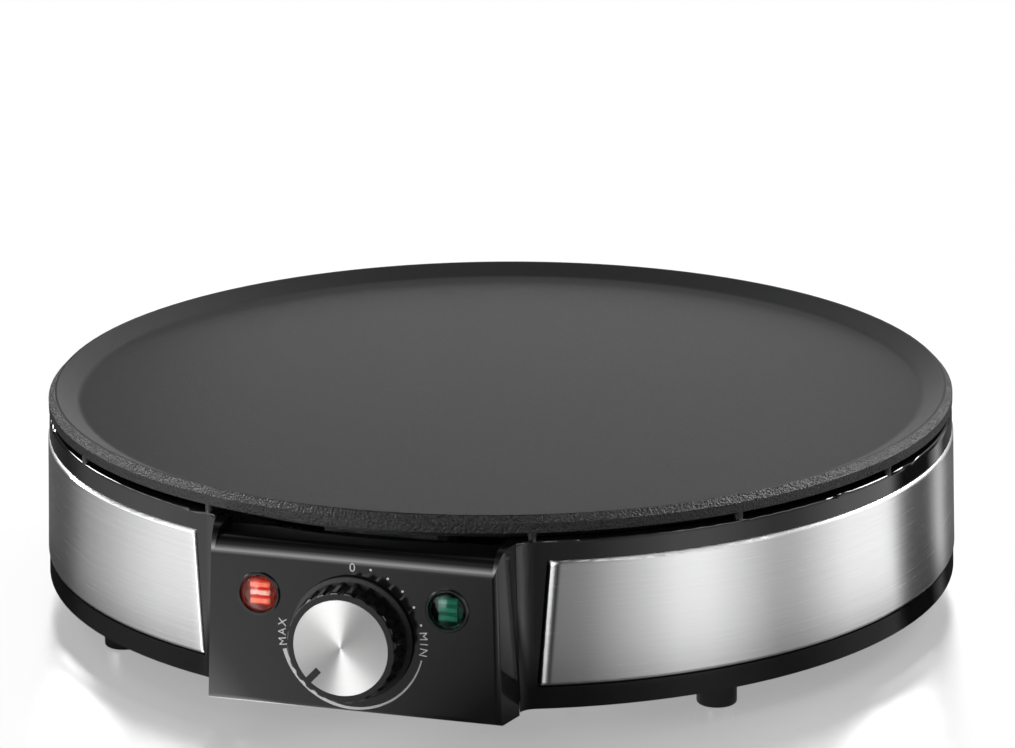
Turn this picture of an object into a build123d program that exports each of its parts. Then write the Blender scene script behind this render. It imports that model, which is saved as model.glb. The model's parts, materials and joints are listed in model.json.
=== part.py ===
"""Electric crepe maker: griddle plate over a banded ring housing with a front control panel.

Units are millimetres. The plate's axis is the Z axis, the counter is the plane z = 0 and the
control panel faces -Y. Angles round the housing are measured from the panel towards +X.
"""

from build123d import *

import os
from math import atan2, cos, degrees, hypot, radians, sin, tan

os.makedirs("parts", exist_ok=True)

# ---------------------------------------------------------------------------
# Driving dimensions
# ---------------------------------------------------------------------------

# Overall
plate_diameter = 300.0          # across the crest of the plate's lip
overall_height = 72.0           # counter to the crest of the lip
ground_clearance = 9.6          # counter to the underside of the housing

# Griddle plate
edge_overhang = 2.1             # plate edge outside the crest
crest_width = 0.7
lip_width = 8.0
lip_height = 3.8
lip_fillet = 4.0
flange_height = 5.35            # crest to the underside of the rim
plate_thickness = 5.7
core_setback = 7.5              # thick middle of the plate, inside the crest
edge_chamfer = 2.2
edge_soft = 1.1

# Heater under the plate
element_inset = 55.0            # crest to the tube's centre
element_tube_radius = 3.6
element_groove_clearance = 0.05
element_boss_width = 16.0
element_boss_height = 4.5
element_gap_angle = 12.0        # each side of the rear centreline
element_bend_radius = 9.0
element_leg_length = 9.0
insulator_radius = 3.4
insulator_length = 4.0
element_pin_radius = 1.2
element_tab_size = (6.3, 0.8, 9.0)

# Columns that hold the plate down
column_circle_radius = 62.0
column_count = 3
column_outer_radius = 4.0
column_boss_radius = 6.0
column_boss_length = 16.0
column_screw_radius = 1.95
column_screw_head_radius = 3.8
column_screw_head_height = 1.3
column_thread_depth = 11.0

# Reflector
reflector_thickness = 0.6
reflector_inset = 32.0          # crest to the sheet's edge
reflector_rim_height = 5.0
reflector_notch_width = 64.0    # clears the thermostat
reflector_notch_inset = 60.0    # crest to the notch's inner end
wire_pass_radius = 4.5
element_leg_clearance = 2.0

# Ring housing
body_step_out = 3.6             # housing foot outside the plate's crest
body_draft = 1.68               # degrees
body_wall = 3.0
rim_gap = 2.5                   # daylight between housing and plate
rim_round = 1.2
rim_inner_round = 0.8
foot_edge_round = 0.8
nub_radius = 1.4
nub_seam_setback = 4.4          # along the ring, panel seam to the first nub
nub_pitch_angle = 25.8
nub_pairs = 6
nub_inset = 1.4                 # nub centre inside the rim's outer edge

# Steel bands
band_thickness = 1.6
band_proud = 0.4
band_top_drop = 6.85            # rim to the band's top edge
band_bottom_rise = 7.3          # housing foot to the band's bottom edge
band_edge_round = 1.2
band_end_round = 1.0
band_seam = 0.3
band_backing_gap = 0.05
band_front_setback = 7.4        # along the ring, from the panel seam to the band's slanted end
band_front_slant = 3.4          # how far the end runs back from bottom to top
band_rear_angle = 162.0

# Control panel
panel_half_width = 47.7
panel_reach = 6.24              # panel face outside the housing foot
panel_lean = 2.1                # degrees, face leans back
panel_side_lean = 1.72          # degrees, each side leans in
panel_flare = 13.7              # degrees, sides splay towards the back
panel_seam_setback = 11.84      # face to the seam with the ring
panel_wall = 2.5
panel_top_wall = 2.2
panel_foot_drop = 0.9           # housing foot to the panel's lower edge
cheek_drop = 0.3                # rim to the top of the cheeks
cheek_width = 1.1
cheek_round = 8.6
shelf_drop = 2.8                # rim to the panel's top
shelf_round = 5.6
panel_corner_round = 1.8
seam_gap = 0.25
panel_back_setback = 1.0        # ring's inner wall to the panel's back edge
flare_length = 4.7              # along the ring, the swept part of each ring end
hook_thickness = 2.2
hook_span = 9.0                 # along the ring
hook_heights = (18.0, 48.0)
hook_clearance = 0.4

# Knob and dial
dial_height = 23.65             # housing foot to the knob's axis
knob_rest_angle = 223.0         # pointer, clockwise from the top
knob_panel_gap = 0.8
skirt_radius = 19.75
skirt_thickness = 0.9
knob_base_radius = 18.4
knob_front_radius = 17.75
knob_height = 10.7              # skirt's back to the rim
knob_wall = 2.6
knob_hub_radius = 5.6
flute_count = 24
flute_radius = 1.9
flute_floor_radius = 16.95
disc_radius = 15.3
disc_thickness = 1.3
disc_proud = 0.3
disc_clearance = 0.1
pointer_width = 2.0
pointer_inner_radius = 10.6
pointer_outer_radius = 16.6
pointer_clearance = 0.1
knob_face_wall = 2.0
knob_rim_round = 0.7
flute_lift = 0.4                # skirt to the lower end of the flutes

# Lamps
lamp_offset = 30.65
lamp_drop = 16.7                # panel's top to the lamps' axis
lens_radius = 5.85
lens_dome = 2.3
lens_wall = 0.9
lens_depth = 7.0
bezel_outer_radius = 7.0
bezel_sleeve_radius = 6.45
bezel_proud = 0.7
bezel_depth = 8.5
lamp_fit = 0.1
reflector_bar_count = 3
lamp_reflector_width = 6.0
lamp_reflector_thickness = 0.8
holder_wall = 1.2
holder_length = 13.0
bulb_radius = 2.1
bulb_length = 7.0

# Thermostat
spindle_radius = 3.0
spindle_fit = 0.05              # radial
spindle_flat = 1.9
spindle_front = 8.0             # panel face to the spindle's front end
bracket_depth = 28.0            # panel face to the bracket
bracket_thickness = 1.2
bracket_width = 28.0
bracket_flange = 20.0
bracket_below_axis = 9.0
bracket_screw_offset = 9.0
bushing_hex = 11.0
bushing_hex_thickness = 3.5
bushing_radius = 4.5
bushing_tail = 14.0
bushing_end_wall = 2.0
nut_hex = 13.0
nut_thickness = 3.0
circlip_thickness = 0.8
circlip_outer_radius = 5.0
circlip_groove_depth = 0.5
circlip_gap = 0.3
circlip_side_gap = 0.05
pin_radius = 1.25
pin_head_radius = 2.5
pin_head_length = 1.5
pin_fit = 0.05
pin_travel_forward = 0.95
pin_travel_back = 0.2
pin_rest_gap = 0.3
leaf_thickness = 0.5
leaf_width = 8.0
leaf_contact_radius = 1.5
leaf_tab = (6.0, 5.0)
leaf_setback = 3.0              # bushing's end to the moving leaf
stack_offset = 15.0
stack_washer_radius = 4.6
stack_gap = 3.2
stack_rivet_radius = 1.5
stack_rivet_head_radius = 3.0
stack_rivet_head = 1.2
stack_fit = 0.05
bimetal_thickness = 1.0

# Floor of the housing
floor_thickness = 2.4
floor_recess = 1.4              # housing foot to the floor's underside
floor_clearance = 0.4
vent_count = 24
vent_length = 16.0
vent_width = 3.0
vent_inset = 50.0               # crest to the vent's centre
inner_vent_count = 12
inner_vent_circle_radius = 34.0

# Feet and the screws through them
foot_inset = 10.4               # crest to the foot's centre
foot_angles = (46.0, 134.0, -134.0, -46.0)
foot_radius = 6.45
foot_round = 0.9
foot_screw_radius = 1.95
foot_screw_head_radius = 3.1
foot_screw_head_height = 1.8
foot_recess_radius = 3.6
foot_recess_depth = 6.0
foot_screw_length = 24.0
post_radius = 4.6
post_height = 24.0
rib_thickness = 2.0
screw_fit = 0.05
hole_fit = 0.35

# Panel fixing
panel_post_offset = 40.0
panel_post_radius = 3.6
panel_post_bite = 0.6           # post into the panel's front wall
panel_post_height = 20.0
panel_screw_radius = 1.45
panel_screw_head_radius = 2.7
panel_screw_head_height = 1.25
panel_screw_length = 12.0

# Mains inlet
cord_radius = 3.5
gland_clearance = 0.2
gland_height = 22.0             # counter to the inlet's axis
gland_sleeve_radius = 6.2
gland_flange_radius = 8.2
gland_flange_thickness = 1.8
gland_seat_gap = 0.15
gland_inner_tail = 3.0
clamp_setback = 12.0            # inner wall to the clamp's axis
clamp_width = 26.0
clamp_length = 9.0
clamp_plate = 2.0
clamp_bite = 0.6
clamp_screw_offset = 9.0
clamp_screw_radius = 1.45
clamp_screw_head_radius = 2.7
clamp_screw_head_height = 1.8
clamp_screw_length = 6.5

# Terminal block
block_size = (52.0, 17.0, 13.0)
block_setback = 34.0            # inner wall to the block's axis
block_pitch = 8.0
block_ways = 6
block_bore_radius = 1.9
block_screw_radius = 1.45
block_screw_head_radius = 2.0
block_screw_head_height = 1.0
block_screw_length = 3.6

# Overheat fuse and earth point
fuse_radius = 2.2
fuse_length = 13.0
fuse_place = (60.0, -20.0)
fuse_gap = 0.1
strap_thickness = 0.8
strap_width = 7.0
strap_tail = 8.0
pass_setback = 18.0             # fuse end or lug to the hole its wire comes through
earth_place = (-58.0, -16.0)
lug_radius = 4.0
lug_length = 11.0
small_screw_radius = 1.45
small_screw_head_radius = 2.8
small_screw_head_height = 1.8
small_screw_length = 4.2

# Wiring
wire_radius = 1.2
wire_bend = 6.0
wire_floor_gap = 0.3
wire_end_gap = 0.1
wire_entry = 4.0                # into the terminal block
lead_reach = 9.0                # straight out of a lamp holder
link_setback = 7.0
link_bend = 3.0
block_swing = 12.0              # outermost ways of the block to the lanes beside the columns
column_pass_rear = (3.0, 30.0)  # beside a column and behind it
column_pass_front = (10.0, 4.0)
pass_rise = 14.0                # lane to the knee below a hole in the reflector
fuse_wire_drop = 10.0           # reflector to the knee in front of the fuse
fuse_wire_knee = (18.0, 28.0, 12.0)
fuse_wire_reach = 5.0           # notch's inner end to the last knee
heater_wire_turn = (4.0, 20.0)
heater_wire_climb = 10.0        # notch's inner end to the start of the climb
heater_wire_reach = 8.0
lamp_lane_swing = 4.0           # lamp's axis to its lane half way back
red_wire_turn = (6.0, 24.0)
red_wire_entry = (2.0, 9.0)
green_wire_turn = (1.0, 16.0)
green_wire_entry = (9.0, 4.0)

# Screw heads, as shares of the head's radius or height
head_side_share = 0.55
head_top_share = 0.62
recess_span_share = 1.05
recess_width_share = 0.26
recess_depth_share = 0.5

# ---------------------------------------------------------------------------
# Derived sizes
# ---------------------------------------------------------------------------

plate_radius = plate_diameter / 2
plate_edge_radius = plate_radius + edge_overhang
plate_core_radius = plate_radius - core_setback
element_ring_radius = plate_radius - element_inset
reflector_radius = plate_radius - reflector_inset
foot_circle_radius = plate_radius - foot_inset
vent_circle_radius = plate_radius - vent_inset
flat_z = overall_height - lip_height
flange_z = overall_height - flange_height
under_z = flat_z - plate_thickness
element_z = under_z - element_boss_height
reflector_top_z = under_z - column_boss_length
reflector_z = reflector_top_z - reflector_thickness

rim_z = flange_z - rim_gap
foot_z = ground_clearance
body_foot_radius = plate_radius + body_step_out
body_slope = tan(radians(body_draft))
body_tall = rim_z - foot_z
floor_low_z = foot_z + floor_recess
floor_top_z = floor_low_z + floor_thickness

face_y = -(body_foot_radius + panel_reach)
face_slope = tan(radians(panel_lean))
side_slope = tan(radians(panel_side_lean))
splay = tan(radians(panel_flare))
cheek_z = rim_z - cheek_drop
shelf_z = rim_z - shelf_drop
lamp_z = shelf_z - lamp_drop
dial_z = foot_z + dial_height
panel_foot_z = foot_z - panel_foot_drop

band_low_z = foot_z + band_bottom_rise
band_high_z = rim_z - band_top_drop
band_mid_z = (band_low_z + band_high_z) / 2
band_recess = band_thickness - band_proud


def body_radius(z):
    """Outer radius of the ring housing at a height."""
    return body_foot_radius - (z - foot_z) * body_slope


def inner_radius(z):
    """Inner radius of the ring housing at a height."""
    return body_radius(z) - body_wall


def around(radius, angle, z=0.0):
    """The point at a radius and an angle from the panel towards +X."""
    return (radius * sin(radians(angle)), -radius * cos(radians(angle)), z)


def radial_plane(angle, z=0.0):
    """A horizontal plane at the plate's axis with its x axis at an angle from the panel."""
    return Plane(origin=(0, 0, z), x_dir=around(1, angle), z_dir=(0, 0, 1))


# ---------------------------------------------------------------------------
# Shared construction
# ---------------------------------------------------------------------------


def face_plane(x, z):
    """A plane on the panel's leaning face, x to the right and its normal towards the user."""
    return Plane(
        origin=(x, face_y + (z - foot_z) * face_slope, z),
        x_dir=(1, 0, 0),
        z_dir=(0, -cos(radians(panel_lean)), sin(radians(panel_lean))),
    )


def section_of(face):
    """The plane through a face plane's x axis and its normal, for turned profiles."""
    return Plane(origin=face.origin, x_dir=face.x_dir, z_dir=-face.y_dir)


def turned(face, outline):
    """A body turned about the normal of a plane, from its (radius, height) corners."""
    with BuildPart() as body:
        with BuildSketch(section_of(face)):
            with BuildLine():
                Polyline(*outline, close=True)
            make_face()
        revolve(axis=Axis(face.origin, face.z_dir))
    return body.part


def pan_screw(head_radius, head_height, shank_radius, shank_length):
    """A screw pointing down -Z with the seat of its head at the origin and a cross recess."""
    with BuildPart() as screw:
        with BuildSketch(Plane.XZ):
            with BuildLine():
                Polyline(
                    (0, -shank_length),
                    (shank_radius, -shank_length),
                    (shank_radius, 0),
                    (head_radius, 0),
                    (head_radius, head_height * head_side_share),
                    (head_radius * head_top_share, head_height),
                    (0, head_height),
                    close=True,
                )
            make_face()
        revolve(axis=Axis.Z)
        with BuildSketch(Plane.XY.offset(head_height)):
            Rectangle(head_radius * recess_span_share, head_radius * recess_width_share)
            Rectangle(head_radius * recess_width_share, head_radius * recess_span_share)
        extrude(amount=-head_height * recess_depth_share, mode=Mode.SUBTRACT)
    return screw.part


def facing_down(x, y, z):
    """A plane whose normal points down, for pieces driven upwards."""
    return Plane(origin=(x, y, z), x_dir=(1, 0, 0), z_dir=(0, 0, -1))


def panel_corner(z):
    """Front corner of the panel on the +X side at a height."""
    rise = z - foot_z
    return (panel_half_width - rise * side_slope, face_y + rise * face_slope)


def seam_corner(z):
    """Outer end of the seam between panel and ring on the +X side at a height."""
    x, y = panel_corner(z)
    return (x + panel_seam_setback * splay, y + panel_seam_setback)


seam_x, seam_y = seam_corner(foot_z)
seam_angle = degrees(atan2(seam_x, -seam_y))
flare_angle = seam_angle + degrees(flare_length / body_foot_radius)
nub_first_angle = seam_angle + degrees(nub_seam_setback / body_foot_radius)


def panel_outline(z):
    """Outer corners of the panel at a height, right half from the front to the back."""
    corner = panel_corner(z)
    outer = seam_corner(z)
    inner = around(inner_radius(z) + panel_back_setback, seam_angle)
    along = hypot(panel_seam_setback, panel_seam_setback * splay)
    front = (
        outer[0] - seam_gap * panel_seam_setback * splay / along,
        outer[1] - seam_gap * panel_seam_setback / along,
    )
    return [corner, front, (inner[0] - seam_gap, inner[1])]


def cavity_outline(z):
    """Inner corners of the panel at a height, right half from the front to the open back."""
    corner, outer, inner = panel_outline(z)
    return [
        (corner[0] - panel_wall, corner[1] + panel_wall),
        (outer[0] - panel_wall * 1.4, outer[1]),
        (inner[0] - panel_wall, inner[1] - panel_wall),
        (inner[0] - panel_wall, inner[1] + 2 * panel_wall),
    ]


def mirrored_outline(half):
    """A closed outline from its right half."""
    return half + [(-x, y) for x, y in reversed(half)]


def leaning_block(outline, low, high):
    """A block between two heights whose corners follow an outline function."""
    with BuildPart() as block:
        for z in (low, high):
            with BuildSketch(Plane.XY.offset(z)):
                with BuildLine():
                    Polyline(*mirrored_outline(outline(z)), close=True)
                make_face()
        loft(ruled=True)
    return block.part


def top_cut(top_z, rounding, half_width):
    """The material above a rounded front edge, to be cut from the panel."""
    edge_y = face_y + (top_z - rounding - foot_z) * face_slope
    rear_y = face_y + 4 * panel_seam_setback
    ceiling = rim_z + rounding
    with BuildPart() as waste:
        with BuildSketch(Plane.YZ):
            with BuildLine():
                Polyline((edge_y, top_z - rounding), (edge_y - rounding, top_z - rounding),
                         (edge_y - rounding, ceiling), (rear_y, ceiling), (rear_y, top_z),
                         (edge_y + rounding, top_z))
                RadiusArc((edge_y + rounding, top_z), (edge_y, top_z - rounding), -rounding)
            make_face()
        extrude(amount=half_width, both=True)
    return waste.part


def band_end_plane(angle, slant, shift):
    """The plane of a band's end, leaning back by slant over the band's height."""
    outward = Vector(around(1, angle))
    along = Vector(cos(radians(angle)), sin(radians(angle)), 0)
    rising = Vector(0, 0, band_high_z - band_low_z) + along * slant
    return Plane(
        origin=Vector(0, 0, band_mid_z) + along * shift,
        x_dir=outward,
        z_dir=rising.cross(outward),
    )


band_front_angle = seam_angle + degrees(band_front_setback / body_foot_radius)


def band_strip(depth, proud, margin, rounding):
    """The right band's shape from a depth under the housing's surface to proud of it."""
    low, high = band_low_z - margin, band_high_z + margin
    with BuildPart() as strip:
        with BuildSketch(Plane.XZ) as section:
            with BuildLine():
                Polyline(
                    (body_radius(low) - depth, low),
                    (body_radius(low) + proud, low),
                    (body_radius(high) + proud, high),
                    (body_radius(high) - depth, high),
                    close=True,
                )
            make_face()
            if rounding > 0:
                outer = section.vertices().filter_by(lambda spot: spot.X > body_radius(spot.Y))
                fillet(outer, rounding)
        revolve(axis=Axis.Z)
        split(bisect_by=band_end_plane(band_front_angle, band_front_slant, -margin), keep=Keep.TOP)
        split(bisect_by=band_end_plane(band_rear_angle, 0, margin), keep=Keep.BOTTOM)
        if rounding > 0:
            upright = strip.edges().filter_by(lambda edge: edge.bounding_box().size.Z
                                              > (high - low) / 2)
            fillet(upright.filter_by(lambda edge: hypot(edge.center().X, edge.center().Y)
                                     > body_radius(band_mid_z)), band_end_round)
    return strip.part


def wire(points, bends):
    """An insulated wire of straight runs and arcs through the given corners."""
    with BuildPart() as run:
        with BuildLine() as route:
            FilletPolyline(*points, radius=bends)
        start = route.wire()
        with BuildSketch(Plane(origin=start @ 0, z_dir=start % 0)):
            Circle(wire_radius)
        sweep(path=start)
    return run.part


# ---------------------------------------------------------------------------
# Places shared by several pieces
# ---------------------------------------------------------------------------

column_spots = [
    around(column_circle_radius, 360 / column_count * index)[:2] for index in range(column_count)
]
dial_plane = face_plane(0, dial_z)
inward = -dial_plane.z_dir
bracket_y = (dial_plane.origin + inward * bracket_depth).Y
bracket_screw_y = bracket_y + bracket_flange * 0.62
bracket_spots = [(side * bracket_screw_offset, bracket_screw_y) for side in (-1, 1)]
fuse_screw_spot = (fuse_place[0] + fuse_radius + strap_thickness + strap_tail / 2, fuse_place[1])
plate_screw_spots = bracket_spots + [fuse_screw_spot, earth_place]
foot_spots = [around(foot_circle_radius, angle)[:2] for angle in foot_angles]
panel_post_y = face_y + panel_wall + panel_post_radius - panel_post_bite
panel_post_spots = [(side * panel_post_offset, panel_post_y) for side in (-1, 1)]
element_start_angle = 180 + element_gap_angle
notch_end = plate_radius - reflector_notch_inset
fuse_rear_pass = (fuse_place[0], fuse_place[1] + fuse_length / 2 + pass_setback)
fuse_front_pass = (fuse_place[0], fuse_place[1] - fuse_length / 2 - pass_setback)
earth_pass = (earth_place[0], earth_place[1] + lug_length + pass_setback)
wire_passes = (fuse_rear_pass, fuse_front_pass, earth_pass)

# ---------------------------------------------------------------------------
# Griddle plate
# ---------------------------------------------------------------------------

with BuildPart() as griddle_plate:
    with BuildSketch(Plane.XZ) as plate_section:
        with BuildLine():
            Polyline(
                (0, under_z),
                (0, flat_z),
                (plate_radius - lip_width, flat_z),
                (plate_radius - crest_width, overall_height),
                (plate_radius, overall_height),
                (plate_edge_radius, overall_height - edge_chamfer),
                (plate_edge_radius, flange_z),
                (plate_core_radius, flange_z),
                (plate_core_radius, under_z),
                (element_ring_radius + element_boss_width / 2, under_z),
                (element_ring_radius + element_boss_width / 2, element_z),
                (element_ring_radius - element_boss_width / 2, element_z),
                (element_ring_radius - element_boss_width / 2, under_z),
                close=True,
            )
        make_face()
        levels = plate_section.vertices().group_by(Axis.Y)
        crest = levels[-1]
        chamfer_foot = levels[-2]
        lip_foot = levels[-3].sort_by(Axis.X)[-1]
        fillet(lip_foot, lip_fillet)
        fillet(chamfer_foot, edge_soft)
        fillet(crest, crest_width / 2)
    revolve(axis=Axis.Z)
    with BuildSketch(Plane.XZ):
        with Locations((element_ring_radius, element_z)):
            Circle(element_tube_radius + element_groove_clearance)
    revolve(axis=Axis.Z, mode=Mode.SUBTRACT)
    with BuildSketch(Plane.XY.offset(reflector_top_z)):
        with Locations(*column_spots):
            Circle(column_boss_radius)
    extrude(amount=column_boss_length)
    with BuildSketch(Plane.XY.offset(reflector_top_z)):
        with Locations(*column_spots):
            Circle(column_screw_radius + screw_fit)
    extrude(amount=column_thread_depth + 1, mode=Mode.SUBTRACT)
    with BuildSketch(Plane.XY.offset(under_z)):
        with Locations(*plate_screw_spots):
            Circle(small_screw_radius + screw_fit)
    extrude(amount=small_screw_length, mode=Mode.SUBTRACT)

# ---------------------------------------------------------------------------
# Heater
# ---------------------------------------------------------------------------

leg_points = []
element_start = Vector(around(1, element_start_angle))
with BuildPart() as heating_element:
    with BuildSketch(Plane((0, 0, 0), x_dir=element_start, z_dir=element_start.cross(Vector(0, 0, 1)))):
        with Locations((element_ring_radius, element_z)):
            Circle(element_tube_radius)
    revolve(axis=Axis.Z, revolution_arc=360 - 2 * element_gap_angle)
    for side in (-1, 1):
        angle = 180 + side * element_gap_angle
        end = Vector(around(element_ring_radius, angle, element_z))
        ahead = Vector(cos(radians(angle)), sin(radians(angle)), 0) * -side
        pivot = end - Vector(0, 0, element_bend_radius)
        with BuildSketch(Plane(origin=end, x_dir=(0, 0, 1), z_dir=ahead)):
            Circle(element_tube_radius)
        revolve(axis=Axis(pivot, ahead.cross(Vector(0, 0, -1))), revolution_arc=90)
        knee = pivot + ahead * element_bend_radius
        with BuildSketch(Plane(origin=knee, z_dir=(0, 0, -1))):
            Circle(element_tube_radius)
        extrude(amount=element_leg_length)
        leg_points.append(knee - Vector(0, 0, element_leg_length))

with BuildPart() as element_insulators:
    for leg in leg_points:
        with BuildSketch(Plane(origin=leg, z_dir=(0, 0, -1))):
            Circle(insulator_radius)
            Circle(element_pin_radius + screw_fit, mode=Mode.SUBTRACT)
        extrude(amount=insulator_length)

with BuildPart() as element_terminals:
    for leg in leg_points:
        with BuildSketch(Plane(origin=leg, z_dir=(0, 0, -1))):
            Circle(element_pin_radius)
        extrude(amount=insulator_length)
        with BuildSketch(Plane(origin=leg - Vector(0, 0, insulator_length), z_dir=(0, 0, -1))):
            Rectangle(element_tab_size[0], element_tab_size[1])
        extrude(amount=element_tab_size[2])

with BuildPart() as heat_reflector:
    with BuildSketch(Plane.XY.offset(reflector_z)) as sheet:
        Circle(reflector_radius)
        with Locations((0, -notch_end - reflector_radius / 2)):
            Rectangle(reflector_notch_width, reflector_radius, mode=Mode.SUBTRACT)
        with Locations(*column_spots):
            Circle(column_screw_radius + hole_fit, mode=Mode.SUBTRACT)
        with Locations(*[(leg.X, leg.Y) for leg in leg_points]):
            Circle(element_tube_radius + element_leg_clearance, mode=Mode.SUBTRACT)
        with Locations(*wire_passes):
            Circle(wire_pass_radius, mode=Mode.SUBTRACT)
    extrude(amount=reflector_thickness)
    with BuildSketch(Plane.XY.offset(reflector_top_z)):
        Circle(reflector_radius)
        Circle(reflector_radius - reflector_thickness, mode=Mode.SUBTRACT)
        with Locations((0, -notch_end - reflector_radius / 2)):
            Rectangle(reflector_notch_width, reflector_radius, mode=Mode.SUBTRACT)
    extrude(amount=reflector_rim_height)

# ---------------------------------------------------------------------------
# Columns and screws that hold the plate down
# ---------------------------------------------------------------------------

with BuildPart() as plate_columns:
    with BuildSketch(Plane.XY.offset(floor_top_z)):
        with Locations(*column_spots):
            Circle(column_outer_radius)
            Circle(column_screw_radius + hole_fit, mode=Mode.SUBTRACT)
    extrude(amount=reflector_z - floor_top_z)

column_screw_seat_z = floor_low_z
column_screw_length = reflector_top_z + column_thread_depth - column_screw_seat_z
with BuildPart() as plate_screws:
    with Locations(*[facing_down(x, y, column_screw_seat_z) for x, y in column_spots]):
        add(pan_screw(column_screw_head_radius, column_screw_head_height, column_screw_radius,
                      column_screw_length))

# ---------------------------------------------------------------------------
# Ring housing and its steel bands
# ---------------------------------------------------------------------------


def flare_block():
    """The swept-out end of the ring beside the panel, on the +X side."""
    with BuildPart() as block:
        for z in (foot_z, rim_z):
            outer = body_radius(z)
            start = around(outer, flare_angle)[:2]
            with BuildSketch(Plane.XY.offset(z)):
                with BuildLine():
                    TangentArc(start, seam_corner(z), tangent=(-cos(radians(flare_angle)),
                                                               -sin(radians(flare_angle))))
                    Polyline(
                        seam_corner(z),
                        around(outer - body_wall / 2, seam_angle)[:2],
                        around(outer - body_wall / 2, flare_angle)[:2],
                        start,
                    )
                make_face()
        loft(ruled=True)
        outer_edges = block.edges().group_by(Axis.Z)[-1].filter_by(GeomType.LINE, reverse=True)
        fillet(outer_edges, rim_round)
    return block.part


right_flare = flare_block()
right_recess = band_strip(band_recess, band_thickness, band_seam, 0)
gland_plane = Plane(origin=(0, 0, gland_height), x_dir=(-1, 0, 0), z_dir=(0, 1, 0))

with BuildPart() as body_ring:
    with BuildSketch(Plane.XZ) as ring_section:
        with BuildLine():
            Polyline(
                (inner_radius(foot_z), foot_z),
                (body_radius(foot_z), foot_z),
                (body_radius(rim_z), rim_z),
                (inner_radius(rim_z), rim_z),
                close=True,
            )
        make_face()
        corners = ring_section.vertices()
        fillet(corners.group_by(Axis.Y)[-1].sort_by(Axis.X)[-1], rim_round)
        fillet(corners.group_by(Axis.Y)[-1].sort_by(Axis.X)[0], rim_inner_round)
        fillet(corners.group_by(Axis.Y)[0].sort_by(Axis.X)[-1], foot_edge_round)
    revolve(axis=Axis.Z)
    reach = 2 * body_foot_radius
    with BuildSketch():
        with BuildLine():
            Polyline((0, 0), around(reach, seam_angle)[:2], around(reach, -seam_angle)[:2],
                     close=True)
        make_face()
    extrude(amount=overall_height, mode=Mode.SUBTRACT)
    add(right_flare)
    add(mirror(right_flare, about=Plane.YZ, mode=Mode.PRIVATE))
    add(right_recess, mode=Mode.SUBTRACT)
    add(mirror(right_recess, about=Plane.YZ, mode=Mode.PRIVATE), mode=Mode.SUBTRACT)
    for index in range(nub_pairs):
        for side in (-1, 1):
            angle = side * (nub_first_angle + index * nub_pitch_angle)
            with BuildSketch(Plane.XY.offset(rim_z - rim_round)):
                with Locations(around(body_radius(rim_z) - nub_inset, angle)[:2]):
                    Circle(nub_radius)
            extrude(amount=rim_gap + rim_round)
    for angle, spot in zip(foot_angles, foot_spots):
        with BuildSketch(Plane.XY.offset(floor_top_z)):
            with Locations(spot):
                Circle(post_radius)
        extrude(amount=post_height)
        rib_end = inner_radius(floor_top_z + post_height) + body_wall / 3
        with BuildSketch(radial_plane(angle, floor_top_z)):
            with Locations(((foot_circle_radius + rib_end) / 2, 0)):
                Rectangle(rib_end - foot_circle_radius, rib_thickness)
        extrude(amount=post_height)
        with BuildSketch(Plane.XY.offset(floor_top_z)):
            with Locations(spot):
                Circle(foot_screw_radius + screw_fit)
        extrude(amount=post_height - body_wall, mode=Mode.SUBTRACT)
    with BuildSketch(gland_plane):
        Circle(gland_sleeve_radius + seam_gap)
    extrude(amount=reach, mode=Mode.SUBTRACT)

right_band = band_strip(band_recess - band_backing_gap, band_proud, 0, band_edge_round)

with BuildPart() as steel_band_right:
    add(right_band)

with BuildPart() as steel_band_left:
    mirror(right_band, about=Plane.YZ)

# ---------------------------------------------------------------------------
# Control panel
# ---------------------------------------------------------------------------

lamp_planes = {
    "red": face_plane(-lamp_offset, lamp_z),
    "green": face_plane(lamp_offset, lamp_z),
}


def panel_hook():
    """A lug that reaches behind the ring's end on the +X side."""
    outer = inner_radius(rim_z) - hook_clearance
    inner = outer - hook_thickness
    near = seam_angle - degrees(panel_wall / outer)
    gap = degrees(seam_gap / outer)
    far = seam_angle + degrees(hook_span / outer)
    with BuildPart() as hook:
        with BuildSketch(Plane.XY.offset(hook_heights[0])):
            with BuildLine():
                Polyline(
                    around(inner, near)[:2],
                    around(inner, far)[:2],
                    around(outer, far)[:2],
                    around(outer, seam_angle - gap)[:2],
                    around(outer + 2 * hook_clearance + panel_wall, seam_angle - 2 * gap)[:2],
                    around(outer + 2 * hook_clearance + panel_wall, near)[:2],
                    close=True,
                )
            make_face()
        extrude(amount=hook_heights[1] - hook_heights[0])
    return hook.part


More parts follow.
